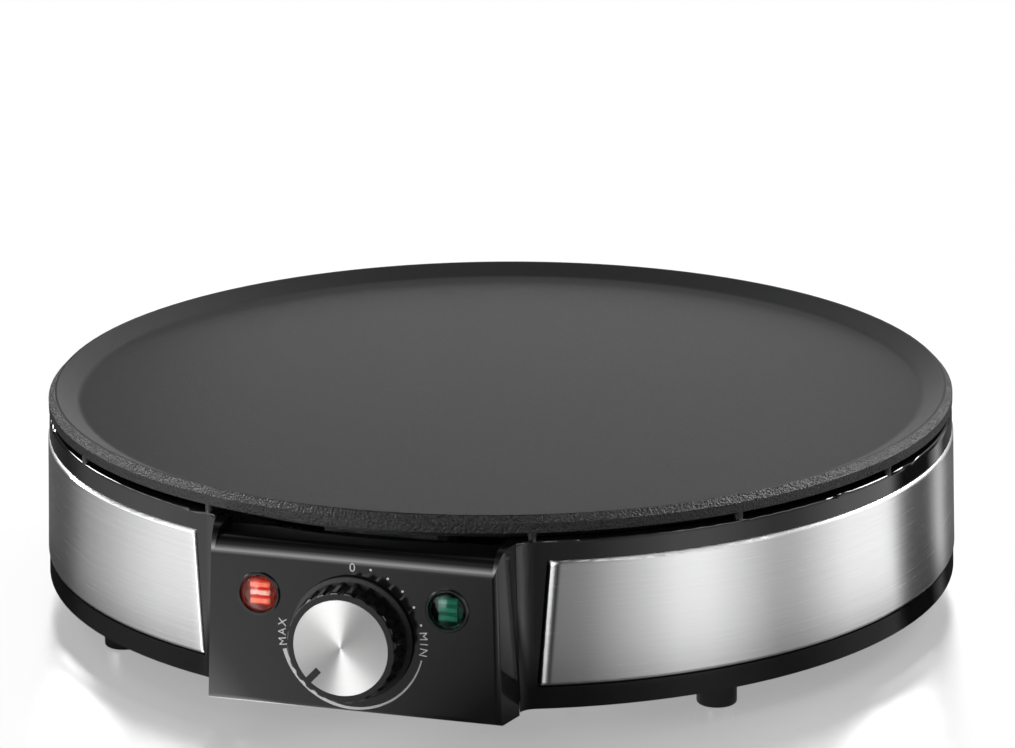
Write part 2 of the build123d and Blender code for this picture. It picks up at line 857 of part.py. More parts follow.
with BuildPart() as control_panel:
    add(leaning_block(panel_outline, panel_foot_z, cheek_z))
    front_corners = (
        control_panel.edges().filter_by(lambda edge: edge.length > body_tall / 2)
        .sort_by(Axis.Y)[:2]
    )
    fillet(front_corners, panel_corner_round)
    add(top_cut(cheek_z, cheek_round, 2 * panel_half_width), mode=Mode.SUBTRACT)
    shelf_half_width = panel_corner(shelf_z)[0] - cheek_width
    add(top_cut(shelf_z, shelf_round, shelf_half_width), mode=Mode.SUBTRACT)
    add(leaning_block(cavity_outline, panel_foot_z - 1, shelf_z - panel_top_wall), mode=Mode.SUBTRACT)
    right_hook = panel_hook()
    add(right_hook)
    add(mirror(right_hook, about=Plane.YZ, mode=Mode.PRIVATE))
    with BuildSketch(Plane.XY.offset(floor_top_z)):
        with Locations(*panel_post_spots):
            Circle(panel_post_radius)
    extrude(amount=panel_post_height)
    with BuildSketch(Plane.XY.offset(floor_top_z)):
        with Locations(*panel_post_spots):
            Circle(panel_screw_radius + screw_fit)
    extrude(amount=panel_screw_length, mode=Mode.SUBTRACT)
    for plane in lamp_planes.values():
        with BuildSketch(plane):
            Circle(bezel_sleeve_radius + lamp_fit)
        extrude(amount=2 * panel_wall, both=True, mode=Mode.SUBTRACT)
    with BuildSketch(dial_plane):
        Circle(spindle_radius + 2 * hole_fit)
    extrude(amount=2 * panel_wall, both=True, mode=Mode.SUBTRACT)

# ---------------------------------------------------------------------------
# Floor of the housing, feet and fixings
# ---------------------------------------------------------------------------

nose_corner = cavity_outline(floor_top_z)[0]
nose_back = cavity_outline(floor_low_z)[1]
floor_radius = inner_radius(foot_z) - floor_clearance
saddle_y = inner_radius(gland_height) - clamp_setback
saddle_top_z = gland_height - cord_radius

with BuildPart() as base_cover:
    with BuildSketch(Plane.XY.offset(floor_low_z)):
        Circle(floor_radius)
        with BuildLine():
            Polyline(
                *mirrored_outline([
                    (nose_corner[0] - floor_clearance, nose_corner[1] + floor_clearance),
                    (nose_corner[0] - floor_clearance, nose_back[1] + 2 * panel_wall),
                ]),
                close=True,
            )
        make_face()
        with Locations(*foot_spots):
            Circle(foot_screw_radius + hole_fit, mode=Mode.SUBTRACT)
        with Locations(*column_spots):
            Circle(column_screw_radius + hole_fit, mode=Mode.SUBTRACT)
        with Locations(*panel_post_spots):
            Circle(panel_screw_radius + hole_fit, mode=Mode.SUBTRACT)
        with PolarLocations(vent_circle_radius, vent_count):
            SlotOverall(vent_length, vent_width, mode=Mode.SUBTRACT)
        with PolarLocations(inner_vent_circle_radius, inner_vent_count):
            SlotOverall(vent_length, vent_width, mode=Mode.SUBTRACT)
    extrude(amount=floor_thickness)
    with BuildSketch(Plane.XY.offset(floor_top_z)):
        with Locations((0, saddle_y)):
            Rectangle(clamp_width, clamp_length)
    extrude(amount=saddle_top_z - floor_top_z)
    with BuildSketch(Plane.XY.offset(saddle_top_z)):
        with Locations((-clamp_screw_offset, saddle_y), (clamp_screw_offset, saddle_y)):
            Circle(clamp_screw_radius + screw_fit)
    extrude(amount=-clamp_screw_length, mode=Mode.SUBTRACT)


def rubber_foot(x, y):
    """A round foot under the floor with a recess for its screw."""
    with BuildPart() as foot:
        with BuildSketch(Plane.XY):
            with Locations((x, y)):
                Circle(foot_radius)
        extrude(amount=floor_low_z)
        fillet(foot.edges().group_by(Axis.Z)[0], foot_round)
        with BuildSketch(Plane.XY):
            with Locations((x, y)):
                Circle(foot_recess_radius)
        extrude(amount=foot_recess_depth, mode=Mode.SUBTRACT)
        with BuildSketch(Plane.XY):
            with Locations((x, y)):
                Circle(foot_screw_radius + hole_fit)
        extrude(amount=floor_low_z, mode=Mode.SUBTRACT)
    return foot.part


foot_names = ("foot_front_right", "foot_rear_right", "foot_rear_left", "foot_front_left")
feet = {}
for foot_name, spot in zip(foot_names, foot_spots):
    with BuildPart() as foot_piece:
        add(rubber_foot(*spot))
    feet[foot_name] = foot_piece

with BuildPart() as foot_screws:
    with Locations(*[facing_down(x, y, foot_recess_depth) for x, y in foot_spots]):
        add(pan_screw(foot_screw_head_radius, foot_screw_head_height, foot_screw_radius,
                      foot_screw_length))

with BuildPart() as panel_screws:
    with Locations(*[facing_down(x, y, floor_low_z) for x, y in panel_post_spots]):
        add(pan_screw(panel_screw_head_radius, panel_screw_head_height, panel_screw_radius,
                      panel_screw_length))

# ---------------------------------------------------------------------------
# Knob
# ---------------------------------------------------------------------------

knob_axis = Axis(dial_plane.origin, dial_plane.z_dir)
rim_height = knob_panel_gap + knob_height
disc_seat = rim_height + disc_proud - disc_thickness
pointer_angle = 90 - knob_rest_angle

with BuildPart() as control_knob:
    with BuildSketch(section_of(dial_plane)) as knob_section:
        with BuildLine():
            Polyline(
                (spindle_radius + spindle_fit, knob_panel_gap),
                (knob_hub_radius, knob_panel_gap),
                (knob_hub_radius, disc_seat - knob_face_wall),
                (knob_base_radius - knob_wall, disc_seat - knob_face_wall),
                (knob_base_radius - knob_wall, knob_panel_gap),
                (skirt_radius, knob_panel_gap),
                (skirt_radius, knob_panel_gap + skirt_thickness),
                (knob_base_radius, knob_panel_gap + skirt_thickness + flute_lift),
                (knob_front_radius, rim_height),
                (disc_radius + disc_clearance, rim_height),
                (disc_radius + disc_clearance, disc_seat),
                (spindle_radius + spindle_fit, disc_seat),
                close=True,
            )
        make_face()
        outer_corners = knob_section.vertices().sort_by(Axis.X)
        fillet(outer_corners[-1], skirt_thickness / 4)
        fillet(knob_section.vertices().group_by(Axis.Y)[-1].sort_by(Axis.X)[-1], knob_rim_round)
    revolve(axis=knob_axis)
    with BuildSketch(dial_plane.offset(knob_panel_gap + skirt_thickness + flute_lift)):
        with PolarLocations(flute_floor_radius + flute_radius, flute_count):
            Circle(flute_radius)
    extrude(amount=knob_height, mode=Mode.SUBTRACT)
    with BuildSketch(dial_plane.offset(spindle_front + screw_fit)):
        Circle(spindle_radius + 2 * spindle_fit)
    extrude(amount=disc_seat - spindle_front - screw_fit)
    with BuildSketch(dial_plane.offset(knob_panel_gap)):
        with Locations((spindle_flat + spindle_fit + spindle_radius / 2, 0)):
            Rectangle(spindle_radius, 2 * spindle_radius)
    extrude(amount=spindle_front - knob_panel_gap)
    with BuildSketch(dial_plane.offset(disc_seat)):
        with Locations(Plane.XY.rotated((0, 0, pointer_angle)).location):
            with Locations(((pointer_inner_radius + pointer_outer_radius) / 2, 0)):
                Rectangle(pointer_outer_radius - pointer_inner_radius, pointer_width)
    extrude(amount=rim_height + disc_proud - disc_seat)

with BuildPart() as knob_disc:
    with BuildSketch(dial_plane.offset(disc_seat)):
        Circle(disc_radius)
        with Locations(Plane.XY.rotated((0, 0, pointer_angle)).location):
            with Locations((pointer_inner_radius - pointer_clearance + disc_radius / 2, 0)):
                Rectangle(disc_radius, pointer_width + 2 * pointer_clearance, mode=Mode.SUBTRACT)
    extrude(amount=disc_thickness)

# ---------------------------------------------------------------------------
# Thermostat: depths are measured inwards from the panel's face
# ---------------------------------------------------------------------------

bore_floor = bracket_depth + bushing_tail - bushing_end_wall
pin_head_back = bore_floor - pin_travel_back - screw_fit
spindle_back = pin_head_back - pin_head_length - pin_travel_forward - pin_rest_gap
leaf_depth = bracket_depth + bushing_tail + leaf_setback
pin_tip = leaf_depth - pin_rest_gap - pin_travel_back
hex_front = bracket_depth - bushing_hex_thickness
clip_back = hex_front - circlip_gap
bracket_back = bracket_depth + bracket_thickness
groove_radius = spindle_radius - circlip_groove_depth
fixed_leaf_depth = leaf_depth + leaf_thickness + stack_gap
bimetal_depth = fixed_leaf_depth + leaf_thickness + stack_gap
stack_back = bimetal_depth + bimetal_thickness
stack_washers = (
    (bracket_back, leaf_depth),
    (leaf_depth + leaf_thickness, fixed_leaf_depth),
    (fixed_leaf_depth + leaf_thickness, bimetal_depth),
)
stack_bore = stack_rivet_radius + stack_fit

with BuildPart() as thermostat_spindle:
    with BuildSketch(dial_plane.offset(spindle_front)):
        Circle(spindle_radius)
    extrude(amount=-(spindle_front + spindle_back))
    with BuildSketch(dial_plane.offset(knob_panel_gap)):
        with Locations((spindle_flat + spindle_radius, 0)):
            Rectangle(2 * spindle_radius, 2 * spindle_radius)
    extrude(amount=spindle_front, mode=Mode.SUBTRACT)
    with BuildSketch(dial_plane.offset(circlip_side_gap - clip_back)):
        Circle(spindle_radius + 1)
        Circle(groove_radius, mode=Mode.SUBTRACT)
    extrude(amount=circlip_thickness, mode=Mode.SUBTRACT)

with BuildPart() as spindle_circlip:
    with BuildSketch(dial_plane.offset(circlip_side_gap - clip_back)):
        Circle(circlip_outer_radius)
        Circle(groove_radius + spindle_fit, mode=Mode.SUBTRACT)
        with Locations((0, -circlip_outer_radius)):
            Rectangle(groove_radius * 1.4, 2 * circlip_outer_radius, mode=Mode.SUBTRACT)
    extrude(amount=circlip_thickness - 2 * circlip_side_gap)

with BuildPart() as thermostat_bushing:
    with BuildSketch(dial_plane.offset(-hex_front)):
        RegularPolygon(bushing_hex / 2, 6, major_radius=False)
    extrude(amount=-bushing_hex_thickness)
    with BuildSketch(dial_plane.offset(-bracket_depth)):
        Circle(bushing_radius)
    extrude(amount=-bushing_tail)
    with BuildSketch(dial_plane.offset(-hex_front)):
        Circle(spindle_radius + spindle_fit)
    extrude(amount=-(bore_floor - hex_front), mode=Mode.SUBTRACT)
    with BuildSketch(dial_plane.offset(-bore_floor)):
        Circle(pin_radius + pin_fit)
    extrude(amount=-bushing_end_wall, mode=Mode.SUBTRACT)

with BuildPart() as thermostat_nut:
    with BuildSketch(dial_plane.offset(-bracket_back)):
        RegularPolygon(nut_hex / 2, 6, major_radius=False)
        Circle(bushing_radius + screw_fit, mode=Mode.SUBTRACT)
    extrude(amount=-nut_thickness)

with BuildPart() as thermostat_pin:
    with BuildSketch(dial_plane.offset(-pin_head_back)):
        Circle(pin_head_radius)
    extrude(amount=pin_head_length)
    with BuildSketch(dial_plane.offset(-pin_head_back)):
        Circle(pin_radius)
    extrude(amount=-(pin_tip - pin_head_back))

bracket_face = dial_plane.offset(-bracket_depth)
lean_up = (sin(radians(panel_lean)), cos(radians(panel_lean)))
lean_in = (cos(radians(panel_lean)), -sin(radians(panel_lean)))


def on_bracket(depth, z):
    """The (y, z) point at a height on the plane a depth behind the bracket's front."""
    base = (bracket_face.origin.Y + lean_in[0] * depth, bracket_face.origin.Z + lean_in[1] * depth)
    climb = (z - base[1]) / lean_up[1]
    return (base[0] + climb * lean_up[0], z)


bracket_foot_z = bracket_face.origin.Z - bracket_below_axis
with BuildPart() as thermostat_bracket:
    with BuildSketch(Plane.YZ):
        with BuildLine():
            Polyline(
                on_bracket(0, bracket_foot_z),
                on_bracket(0, under_z),
                (on_bracket(0, under_z)[0] + bracket_flange, under_z),
                (on_bracket(0, under_z)[0] + bracket_flange, under_z - bracket_thickness),
                on_bracket(bracket_thickness, under_z - bracket_thickness),
                on_bracket(bracket_thickness, bracket_foot_z),
                close=True,
            )
        make_face()
    extrude(amount=bracket_width / 2 + stack_washer_radius, both=True)
    with BuildSketch(dial_plane.offset(-bracket_depth)):
        Circle(bushing_radius + screw_fit)
        with Locations((stack_offset, 0)):
            Circle(stack_bore)
    extrude(amount=2 * bracket_thickness, both=True, mode=Mode.SUBTRACT)
    with BuildSketch(Plane.XY.offset(under_z)):
        with Locations(*bracket_spots):
            Circle(small_screw_radius + screw_fit)
    extrude(amount=-2 * bracket_thickness, mode=Mode.SUBTRACT)

with BuildPart() as stack_insulators:
    for front, back in stack_washers:
        with BuildSketch(dial_plane.offset(-front)):
            with Locations((stack_offset, 0)):
                Circle(stack_washer_radius)
                Circle(stack_bore, mode=Mode.SUBTRACT)
        extrude(amount=-(back - front))

with BuildPart() as stack_rivet:
    with BuildSketch(dial_plane.offset(stack_rivet_head - bracket_depth)):
        with Locations((stack_offset, 0)):
            Circle(stack_rivet_head_radius)
    extrude(amount=-stack_rivet_head)
    with BuildSketch(dial_plane.offset(-bracket_depth)):
        with Locations((stack_offset, 0)):
            Circle(stack_rivet_radius)
    extrude(amount=-(stack_back - bracket_depth))
    with BuildSketch(dial_plane.offset(-stack_back)):
        with Locations((stack_offset, 0)):
            Circle(stack_rivet_head_radius)
    extrude(amount=-stack_rivet_head)


def leaf_spring(depth, tab_side, contact_direction, contact_height):
    """A contact leaf from the stack to the axis, with its wiring tab and contact button."""
    tip = -leaf_width / 2
    root = stack_offset + stack_washer_radius
    with BuildPart() as leaf:
        with BuildSketch(dial_plane.offset(-depth)):
            with Locations(((tip + root) / 2, 0)):
                Rectangle(root - tip, leaf_width)
            with Locations((root + leaf_tab[0] / 2, tab_side * leaf_width / 4)):
                Rectangle(leaf_tab[0], leaf_width / 2)
            with Locations((stack_offset, 0)):
                Circle(stack_bore, mode=Mode.SUBTRACT)
        extrude(amount=-leaf_thickness)
        face = depth + leaf_thickness if contact_direction > 0 else depth
        with BuildSketch(dial_plane.offset(-face)):
            Circle(leaf_contact_radius)
        extrude(amount=-contact_direction * contact_height)
    return leaf.part


contact_height = (stack_gap - wire_end_gap) / 2
with BuildPart() as contact_leaf_moving:
    add(leaf_spring(leaf_depth, 1, 1, contact_height))

with BuildPart() as contact_leaf_fixed:
    add(leaf_spring(fixed_leaf_depth, -1, -1, contact_height))

with BuildPart() as bimetal_strip:
    with BuildSketch(dial_plane.offset(-bimetal_depth)):
        with Locations(((stack_offset + stack_washer_radius - leaf_width) / 2, 0)):
            Rectangle(stack_offset + stack_washer_radius + leaf_width, leaf_width)
        with Locations((stack_offset, 0)):
            Circle(stack_bore, mode=Mode.SUBTRACT)
    extrude(amount=-bimetal_thickness)

with BuildPart() as underside_screws:
    for x, y in plate_screw_spots:
        sheet = bracket_thickness if (x, y) in bracket_spots else strap_thickness
        with Locations(facing_down(x, y, under_z - sheet)):
            add(pan_screw(small_screw_head_radius, small_screw_head_height, small_screw_radius,
                          small_screw_length))

# ---------------------------------------------------------------------------
# Lamps
# ---------------------------------------------------------------------------


def lamp_bezel(plane):
    """The dark ring and sleeve that hold a lens in the panel."""
    bore = lens_radius + lamp_fit
    return turned(plane, [
        (bore, -bezel_depth), (bezel_sleeve_radius, -bezel_depth), (bezel_sleeve_radius, 0),
        (bezel_outer_radius, 0), (bezel_outer_radius, bezel_proud / 2),
        (bezel_outer_radius - bezel_proud / 2, bezel_proud), (bore + bezel_proud / 3, bezel_proud),
        (bore, bezel_proud / 2),
    ])


def lamp_lens(plane):
    """A hollow domed lens."""
    inner = lens_radius - lens_wall
    with BuildPart() as lens:
        with BuildSketch(section_of(plane)):
            with BuildLine():
                TangentArc((0, lens_dome), (lens_radius, 0), tangent=(1, 0))
                Polyline((lens_radius, 0), (lens_radius, -lens_depth), (inner, -lens_depth),
                         (inner, -lens_wall / 2))
                TangentArc((0, lens_dome - lens_wall), (inner, -lens_wall / 2), tangent=(1, 0))
                Line((0, lens_dome - lens_wall), (0, lens_dome))
            make_face()
        revolve(axis=Axis(plane.origin, plane.z_dir))
    return lens.part


def lamp_reflector(plane):
    """A small ribbed plate inside the lens."""
    width, thickness = lamp_reflector_width, lamp_reflector_thickness
    corner = lens_radius - lens_wall - lamp_fit
    height = (4 * corner ** 2 - width ** 2) ** 0.5
    pitch = height / reflector_bar_count
    backing = plane.offset(-lens_wall / 2 - thickness)
    with BuildPart() as plate:
        with BuildSketch(backing):
            Rectangle(width, height)
        extrude(amount=-thickness)
        with BuildSketch(backing):
            with GridLocations(0, pitch, 1, reflector_bar_count):
                Rectangle(width, pitch * 0.6)
        extrude(amount=thickness * 0.7)
    return plate.part


def lamp_holder(plane):
    """A cup behind the panel that carries a bulb and grips the bezel's sleeve."""
    grip = bezel_sleeve_radius + lamp_fit
    front = panel_wall + lamp_fit
    back = front + holder_length
    seat = bezel_depth + lamp_fit
    return turned(plane, [
        (grip, -front), (grip + holder_wall, -front), (grip + holder_wall, -back), (0, -back),
        (0, holder_wall - back), (bulb_radius + 2 * lamp_fit, holder_wall - back),
        (bulb_radius + 2 * lamp_fit, -seat - holder_wall), (grip, -seat - holder_wall),
    ])


def neon_bulb(plane):
    """A small glass bulb standing in its holder."""
    low = lamp_fit + holder_wall - (panel_wall + lamp_fit + holder_length)
    with BuildPart() as bulb:
        with BuildSketch(section_of(plane)):
            with BuildLine():
                Polyline(
                    (0, low + bulb_length - bulb_radius), (0, low), (bulb_radius, low),
                    (bulb_radius, low + bulb_length - bulb_radius),
                )
                CenterArc((0, low + bulb_length - bulb_radius), bulb_radius, 0, 90)
                Line((0, low + bulb_length), (0, low + bulb_length - bulb_radius))
            make_face()
        revolve(axis=Axis(plane.origin, plane.z_dir))
    return bulb.part


lamp_pieces = {}
for colour, plane in lamp_planes.items():
    for kind, make in (
        ("lamp_bezel", lamp_bezel),
        ("lamp_lens", lamp_lens),
        ("lamp_reflector", lamp_reflector),
        ("lamp_holder", lamp_holder),
        ("neon_bulb", neon_bulb),
    ):
        with BuildPart() as lamp_piece:
            add(make(plane))
        lamp_pieces[kind + "_" + colour] = lamp_piece

# ---------------------------------------------------------------------------
# Mains inlet, terminal block, overheat fuse and earth point
# ---------------------------------------------------------------------------

gland_seat_y = body_radius(gland_height - gland_flange_radius) + gland_seat_gap
gland_lip_y = (inner_radius(gland_height + gland_flange_radius) ** 2
               - gland_flange_radius ** 2) ** 0.5 - gland_seat_gap

with BuildPart() as cord_gland:
    add(turned(gland_plane, [
        (cord_radius + gland_clearance, gland_lip_y - gland_inner_tail),
        (gland_sleeve_radius, gland_lip_y - gland_inner_tail),
        (gland_flange_radius - 1, gland_lip_y - gland_inner_tail / 2),
        (gland_flange_radius - 1, gland_lip_y),
        (gland_sleeve_radius, gland_lip_y),
        (gland_sleeve_radius, gland_seat_y),
        (gland_flange_radius, gland_seat_y),
        (gland_flange_radius, gland_seat_y + gland_flange_thickness / 2),
        (gland_sleeve_radius, gland_seat_y + gland_flange_thickness),
        (cord_radius + gland_clearance, gland_seat_y + gland_flange_thickness),
    ]))

with BuildPart() as cord_clamp:
    with BuildSketch(Plane.XZ.offset(-saddle_y)):
        with Locations((0, gland_height)):
            Circle(cord_radius + clamp_plate)
        with Locations((0, saddle_top_z - clamp_width / 2)):
            Rectangle(clamp_width, clamp_width, mode=Mode.SUBTRACT)
        with Locations((0, saddle_top_z + clamp_plate / 2)):
            Rectangle(clamp_width, clamp_plate)
        with Locations((0, gland_height)):
            Circle(cord_radius - clamp_bite, mode=Mode.SUBTRACT)
        with Locations((0, (saddle_top_z + gland_height) / 2)):
            Rectangle(2 * (cord_radius - clamp_bite), cord_radius, mode=Mode.SUBTRACT)
    extrude(amount=clamp_length / 2, both=True)
    with BuildSketch(Plane.XY.offset(saddle_top_z)):
        with Locations((-clamp_screw_offset, saddle_y), (clamp_screw_offset, saddle_y)):
            Circle(clamp_screw_radius + screw_fit)
    extrude(amount=clamp_plate, mode=Mode.SUBTRACT)

with BuildPart() as cord_clamp_screws:
    with Locations((-clamp_screw_offset, saddle_y, saddle_top_z + clamp_plate),
                   (clamp_screw_offset, saddle_y, saddle_top_z + clamp_plate)):
        add(pan_screw(clamp_screw_head_radius, clamp_screw_head_height, clamp_screw_radius,
                      clamp_screw_length))

block_y = inner_radius(foot_z) - block_setback
block_front_y = block_y - block_size[1] / 2
way_x = [(index - (block_ways - 1) / 2) * block_pitch for index in range(block_ways)]
way_z = floor_top_z + block_size[2] * 0.4
block_top_z = floor_top_z + block_size[2]
block_screw_seat = block_top_z - block_screw_head_height - screw_fit

with BuildPart() as terminal_block:
    with BuildSketch(Plane.XY.offset(floor_top_z)):
        with Locations((0, block_y)):
            Rectangle(block_size[0], block_size[1])
    extrude(amount=block_size[2])
    fillet(terminal_block.edges().filter_by(Axis.Z), block_bore_radius / 2)
    with BuildSketch(Plane.XZ.offset(-block_y)):
        with Locations(*[(x, way_z) for x in way_x]):
            Circle(block_bore_radius)
    extrude(amount=block_size[1], both=True, mode=Mode.SUBTRACT)
    with BuildSketch(Plane.XY.offset(block_top_z)):
        with Locations(*[(x, block_y) for x in way_x]):
            Circle(block_screw_head_radius + hole_fit)
    extrude(amount=-(block_top_z - block_screw_seat), mode=Mode.SUBTRACT)
    with BuildSketch(Plane.XY.offset(block_top_z)):
        with Locations(*[(x, block_y) for x in way_x]):
            Circle(block_screw_radius + screw_fit)
    extrude(amount=-(block_top_z - way_z), mode=Mode.SUBTRACT)

with BuildPart() as terminal_screws:
    with Locations(*[(x, block_y, block_screw_seat) for x in way_x]):
        add(pan_screw(block_screw_head_radius, block_screw_head_height, block_screw_radius,
                      block_screw_length))

fuse_z = under_z - fuse_gap - fuse_radius
with BuildPart() as thermal_fuse:
    with BuildSketch(Plane.XZ.offset(-fuse_place[1])):
        with Locations((fuse_place[0], fuse_z)):
            Circle(fuse_radius)
    extrude(amount=fuse_length / 2, both=True)
    fillet(thermal_fuse.edges(), fuse_radius / 4)

strap_bore = fuse_radius + fuse_gap
with BuildPart() as fuse_clamp:
    with BuildSketch(Plane.XZ.offset(-fuse_place[1])):
        with Locations((fuse_place[0], fuse_z)):
            Circle(strap_bore + strap_thickness)
        with Locations((fuse_place[0], fuse_z + strap_bore)):
            Rectangle(2 * (strap_bore + strap_thickness), 2 * strap_bore)
        with Locations((fuse_place[0] + strap_bore + strap_tail / 2 + strap_thickness / 2,
                        under_z - strap_thickness / 2)):
            Rectangle(strap_tail + strap_thickness, strap_thickness)
        with Locations((fuse_place[0], under_z + strap_bore)):
            Rectangle(4 * strap_tail, 2 * strap_bore, mode=Mode.SUBTRACT)
        with Locations((fuse_place[0], fuse_z)):
            Circle(strap_bore, mode=Mode.SUBTRACT)
        with Locations((fuse_place[0], fuse_z + strap_bore)):
            Rectangle(2 * strap_bore, 2 * strap_bore, mode=Mode.SUBTRACT)
    extrude(amount=strap_width / 2, both=True)
    with BuildSketch(Plane.XY.offset(under_z)):
        with Locations(fuse_screw_spot):
            Circle(small_screw_radius + screw_fit)
    extrude(amount=-2 * strap_thickness, mode=Mode.SUBTRACT)

with BuildPart() as earth_lug:
    with BuildSketch(Plane.XY.offset(under_z - strap_thickness)):
        with Locations(earth_place):
            Circle(lug_radius)
        with Locations((earth_place[0], earth_place[1] + lug_length / 2)):
            Rectangle(lug_radius, lug_length)
        with Locations(earth_place):
            Circle(small_screw_radius + screw_fit, mode=Mode.SUBTRACT)
    extrude(amount=strap_thickness)

# ---------------------------------------------------------------------------
# Wiring
# ---------------------------------------------------------------------------

lane_z = floor_top_z + wire_radius + wire_floor_gap
block_entry_y = block_front_y + wire_entry
tab_foot_z = leg_points[0].Z - insulator_length - element_tab_size[2] - wire_end_gap


def behind_panel(x, up, depth):
    """The point at an offset from the dial's axis, a depth behind the panel's face."""
    return (dial_plane.origin + dial_plane.x_dir * x + dial_plane.y_dir * up + inward * depth)


moving_tab = behind_panel(stack_offset + stack_washer_radius + leaf_tab[0] * 0.7, leaf_width / 4,
                          leaf_depth + leaf_thickness + wire_end_gap)
fixed_tab = behind_panel(stack_offset + stack_washer_radius + leaf_tab[0] * 0.3, -leaf_width / 4,
                         fixed_leaf_depth + leaf_thickness + wire_end_gap)
legs = sorted(leg_points, key=lambda leg: leg.X)
holder_back = panel_wall + lamp_fit + holder_length + wire_end_gap


def lamp_pin(colour, side):
    """The point behind a lamp holder where one of its leads starts."""
    plane = lamp_planes[colour]
    return plane.origin + plane.x_dir * side * bulb_radius - plane.z_dir * holder_back


red_start = lamp_pin("red", -1)
green_start = lamp_pin("green", 1)
link_red = lamp_pin("red", 1)
link_green = lamp_pin("green", -1)
link_y = link_red.Y + link_setback
lead_turn = Vector(0, lead_reach, 0)
fuse_rear_y = fuse_place[1] + fuse_length / 2 + wire_end_gap
fuse_front_y = fuse_place[1] - fuse_length / 2 - wire_end_gap
lug_wire_z = under_z - wire_radius - wire_end_gap
right_column, left_column = column_spots[1:3]
leg_y = legs[0].Y


def from_block(way):
    """The straight start of a wire that leaves a way of the terminal block."""
    return [(way_x[way], block_entry_y, way_z), (way_x[way], block_front_y - wire_bend, way_z)]


routes = {
    "neutral_wire": [
        *from_block(1),
        (legs[0].X, leg_y, way_z),
        (legs[0].X, leg_y, tab_foot_z),
    ],
    "heater_wire": [
        (legs[1].X, leg_y, tab_foot_z),
        (legs[1].X, leg_y, lane_z),
        (legs[1].X + heater_wire_turn[0], heater_wire_turn[1], lane_z),
        (fixed_tab.X, heater_wire_climb - notch_end, lane_z),
        (fixed_tab.X, -notch_end - heater_wire_reach, fixed_tab.Z),
        tuple(fixed_tab),
    ],
    "earth_wire": [
        *from_block(0),
        (way_x[0] - block_swing, leg_y, lane_z),
        (left_column[0] - column_pass_rear[0], left_column[1] + column_pass_rear[1], lane_z),
        (left_column[0] - column_pass_front[0], left_column[1] + column_pass_front[1], lane_z),
        (*earth_pass, lane_z + pass_rise),
        (*earth_pass, lug_wire_z),
        (earth_place[0], earth_place[1] + lug_length + wire_end_gap, lug_wire_z),
    ],
    "live_wire": [
        *from_block(5),
        (way_x[5] + block_swing, leg_y, lane_z),
        (right_column[0] + column_pass_rear[0], right_column[1] + column_pass_rear[1], lane_z),
        (right_column[0] + column_pass_front[0], right_column[1] + column_pass_front[1], lane_z),
        (*fuse_rear_pass, lane_z + pass_rise),
        (*fuse_rear_pass, fuse_z),
        (fuse_place[0], fuse_rear_y, fuse_z),
    ],
    "fuse_wire": [
        (fuse_place[0], fuse_front_y, fuse_z),
        (*fuse_front_pass, fuse_z),
        (*fuse_front_pass, reflector_z - fuse_wire_drop),
        (fuse_place[0] - fuse_wire_knee[0], fuse_front_pass[1] - fuse_wire_knee[1],
         lane_z + fuse_wire_knee[2]),
        (moving_tab.X, -notch_end - fuse_wire_reach, moving_tab.Z),
        tuple(moving_tab),
    ],
    "red_lamp_wire": [
        tuple(red_start),
        tuple(red_start + lead_turn),
        (red_start.X, red_start.Y + 2 * lead_reach, lane_z),
        (red_start.X - lamp_lane_swing, 0, lane_z),
        (red_start.X + red_wire_turn[0], leg_y - red_wire_turn[1], lane_z),
        (way_x[2] - red_wire_entry[0], leg_y - red_wire_entry[1], lane_z),
        *reversed(from_block(2)),
    ],
    "green_lamp_wire": [
        tuple(green_start),
        tuple(green_start + lead_turn),
        (green_start.X, green_start.Y + 2 * lead_reach, lane_z),
        (green_start.X + lamp_lane_swing, 0, lane_z),
        (green_start.X + green_wire_turn[0], leg_y - green_wire_turn[1], lane_z),
        (way_x[4] + green_wire_entry[0], leg_y + green_wire_entry[1], lane_z),
        *reversed(from_block(4)),
    ],
    "lamp_link_wire": [
        tuple(link_red),
        (link_red.X, link_y, link_red.Z),
        (link_green.X, link_y, link_green.Z),
        tuple(link_green),
    ],
}

wires = {}
for wire_name, corners in routes.items():
    with BuildPart() as wire_piece:
        add(wire(corners, link_bend if wire_name == "lamp_link_wire" else wire_bend))
    wires[wire_name] = wire_piece

# ---------------------------------------------------------------------------
# Labels and files
# ---------------------------------------------------------------------------

pieces = {
    "griddle_plate": griddle_plate,
    "heating_element": heating_element,
    "element_insulators": element_insulators,
    "element_terminals": element_terminals,
    "heat_reflector": heat_reflector,
    "plate_columns": plate_columns,
    "plate_screws": plate_screws,
    "body_ring": body_ring,
    "steel_band_right": steel_band_right,
    "steel_band_left": steel_band_left,
    "control_panel": control_panel,
    "base_cover": base_cover,
    **feet,
    "foot_screws": foot_screws,
    "panel_screws": panel_screws,
    "control_knob": control_knob,
    "knob_disc": knob_disc,
    "thermostat_spindle": thermostat_spindle,
    "spindle_circlip": spindle_circlip,
    "thermostat_bushing": thermostat_bushing,
    "thermostat_nut": thermostat_nut,
    "thermostat_pin": thermostat_pin,
    "thermostat_bracket": thermostat_bracket,
    "stack_insulators": stack_insulators,
    "stack_rivet": stack_rivet,
    "contact_leaf_moving": contact_leaf_moving,
    "contact_leaf_fixed": contact_leaf_fixed,
    "bimetal_strip": bimetal_strip,
    "underside_screws": underside_screws,
    **lamp_pieces,
    "cord_gland": cord_gland,
    "cord_clamp": cord_clamp,
    "cord_clamp_screws": cord_clamp_screws,
    "terminal_block": terminal_block,
    "terminal_screws": terminal_screws,
    "thermal_fuse": thermal_fuse,
    "fuse_clamp": fuse_clamp,
    "earth_lug": earth_lug,
    **wires,
}

for name, piece in pieces.items():
    piece.part.label = name
    export_step(piece.part, f"parts/{name}.step")
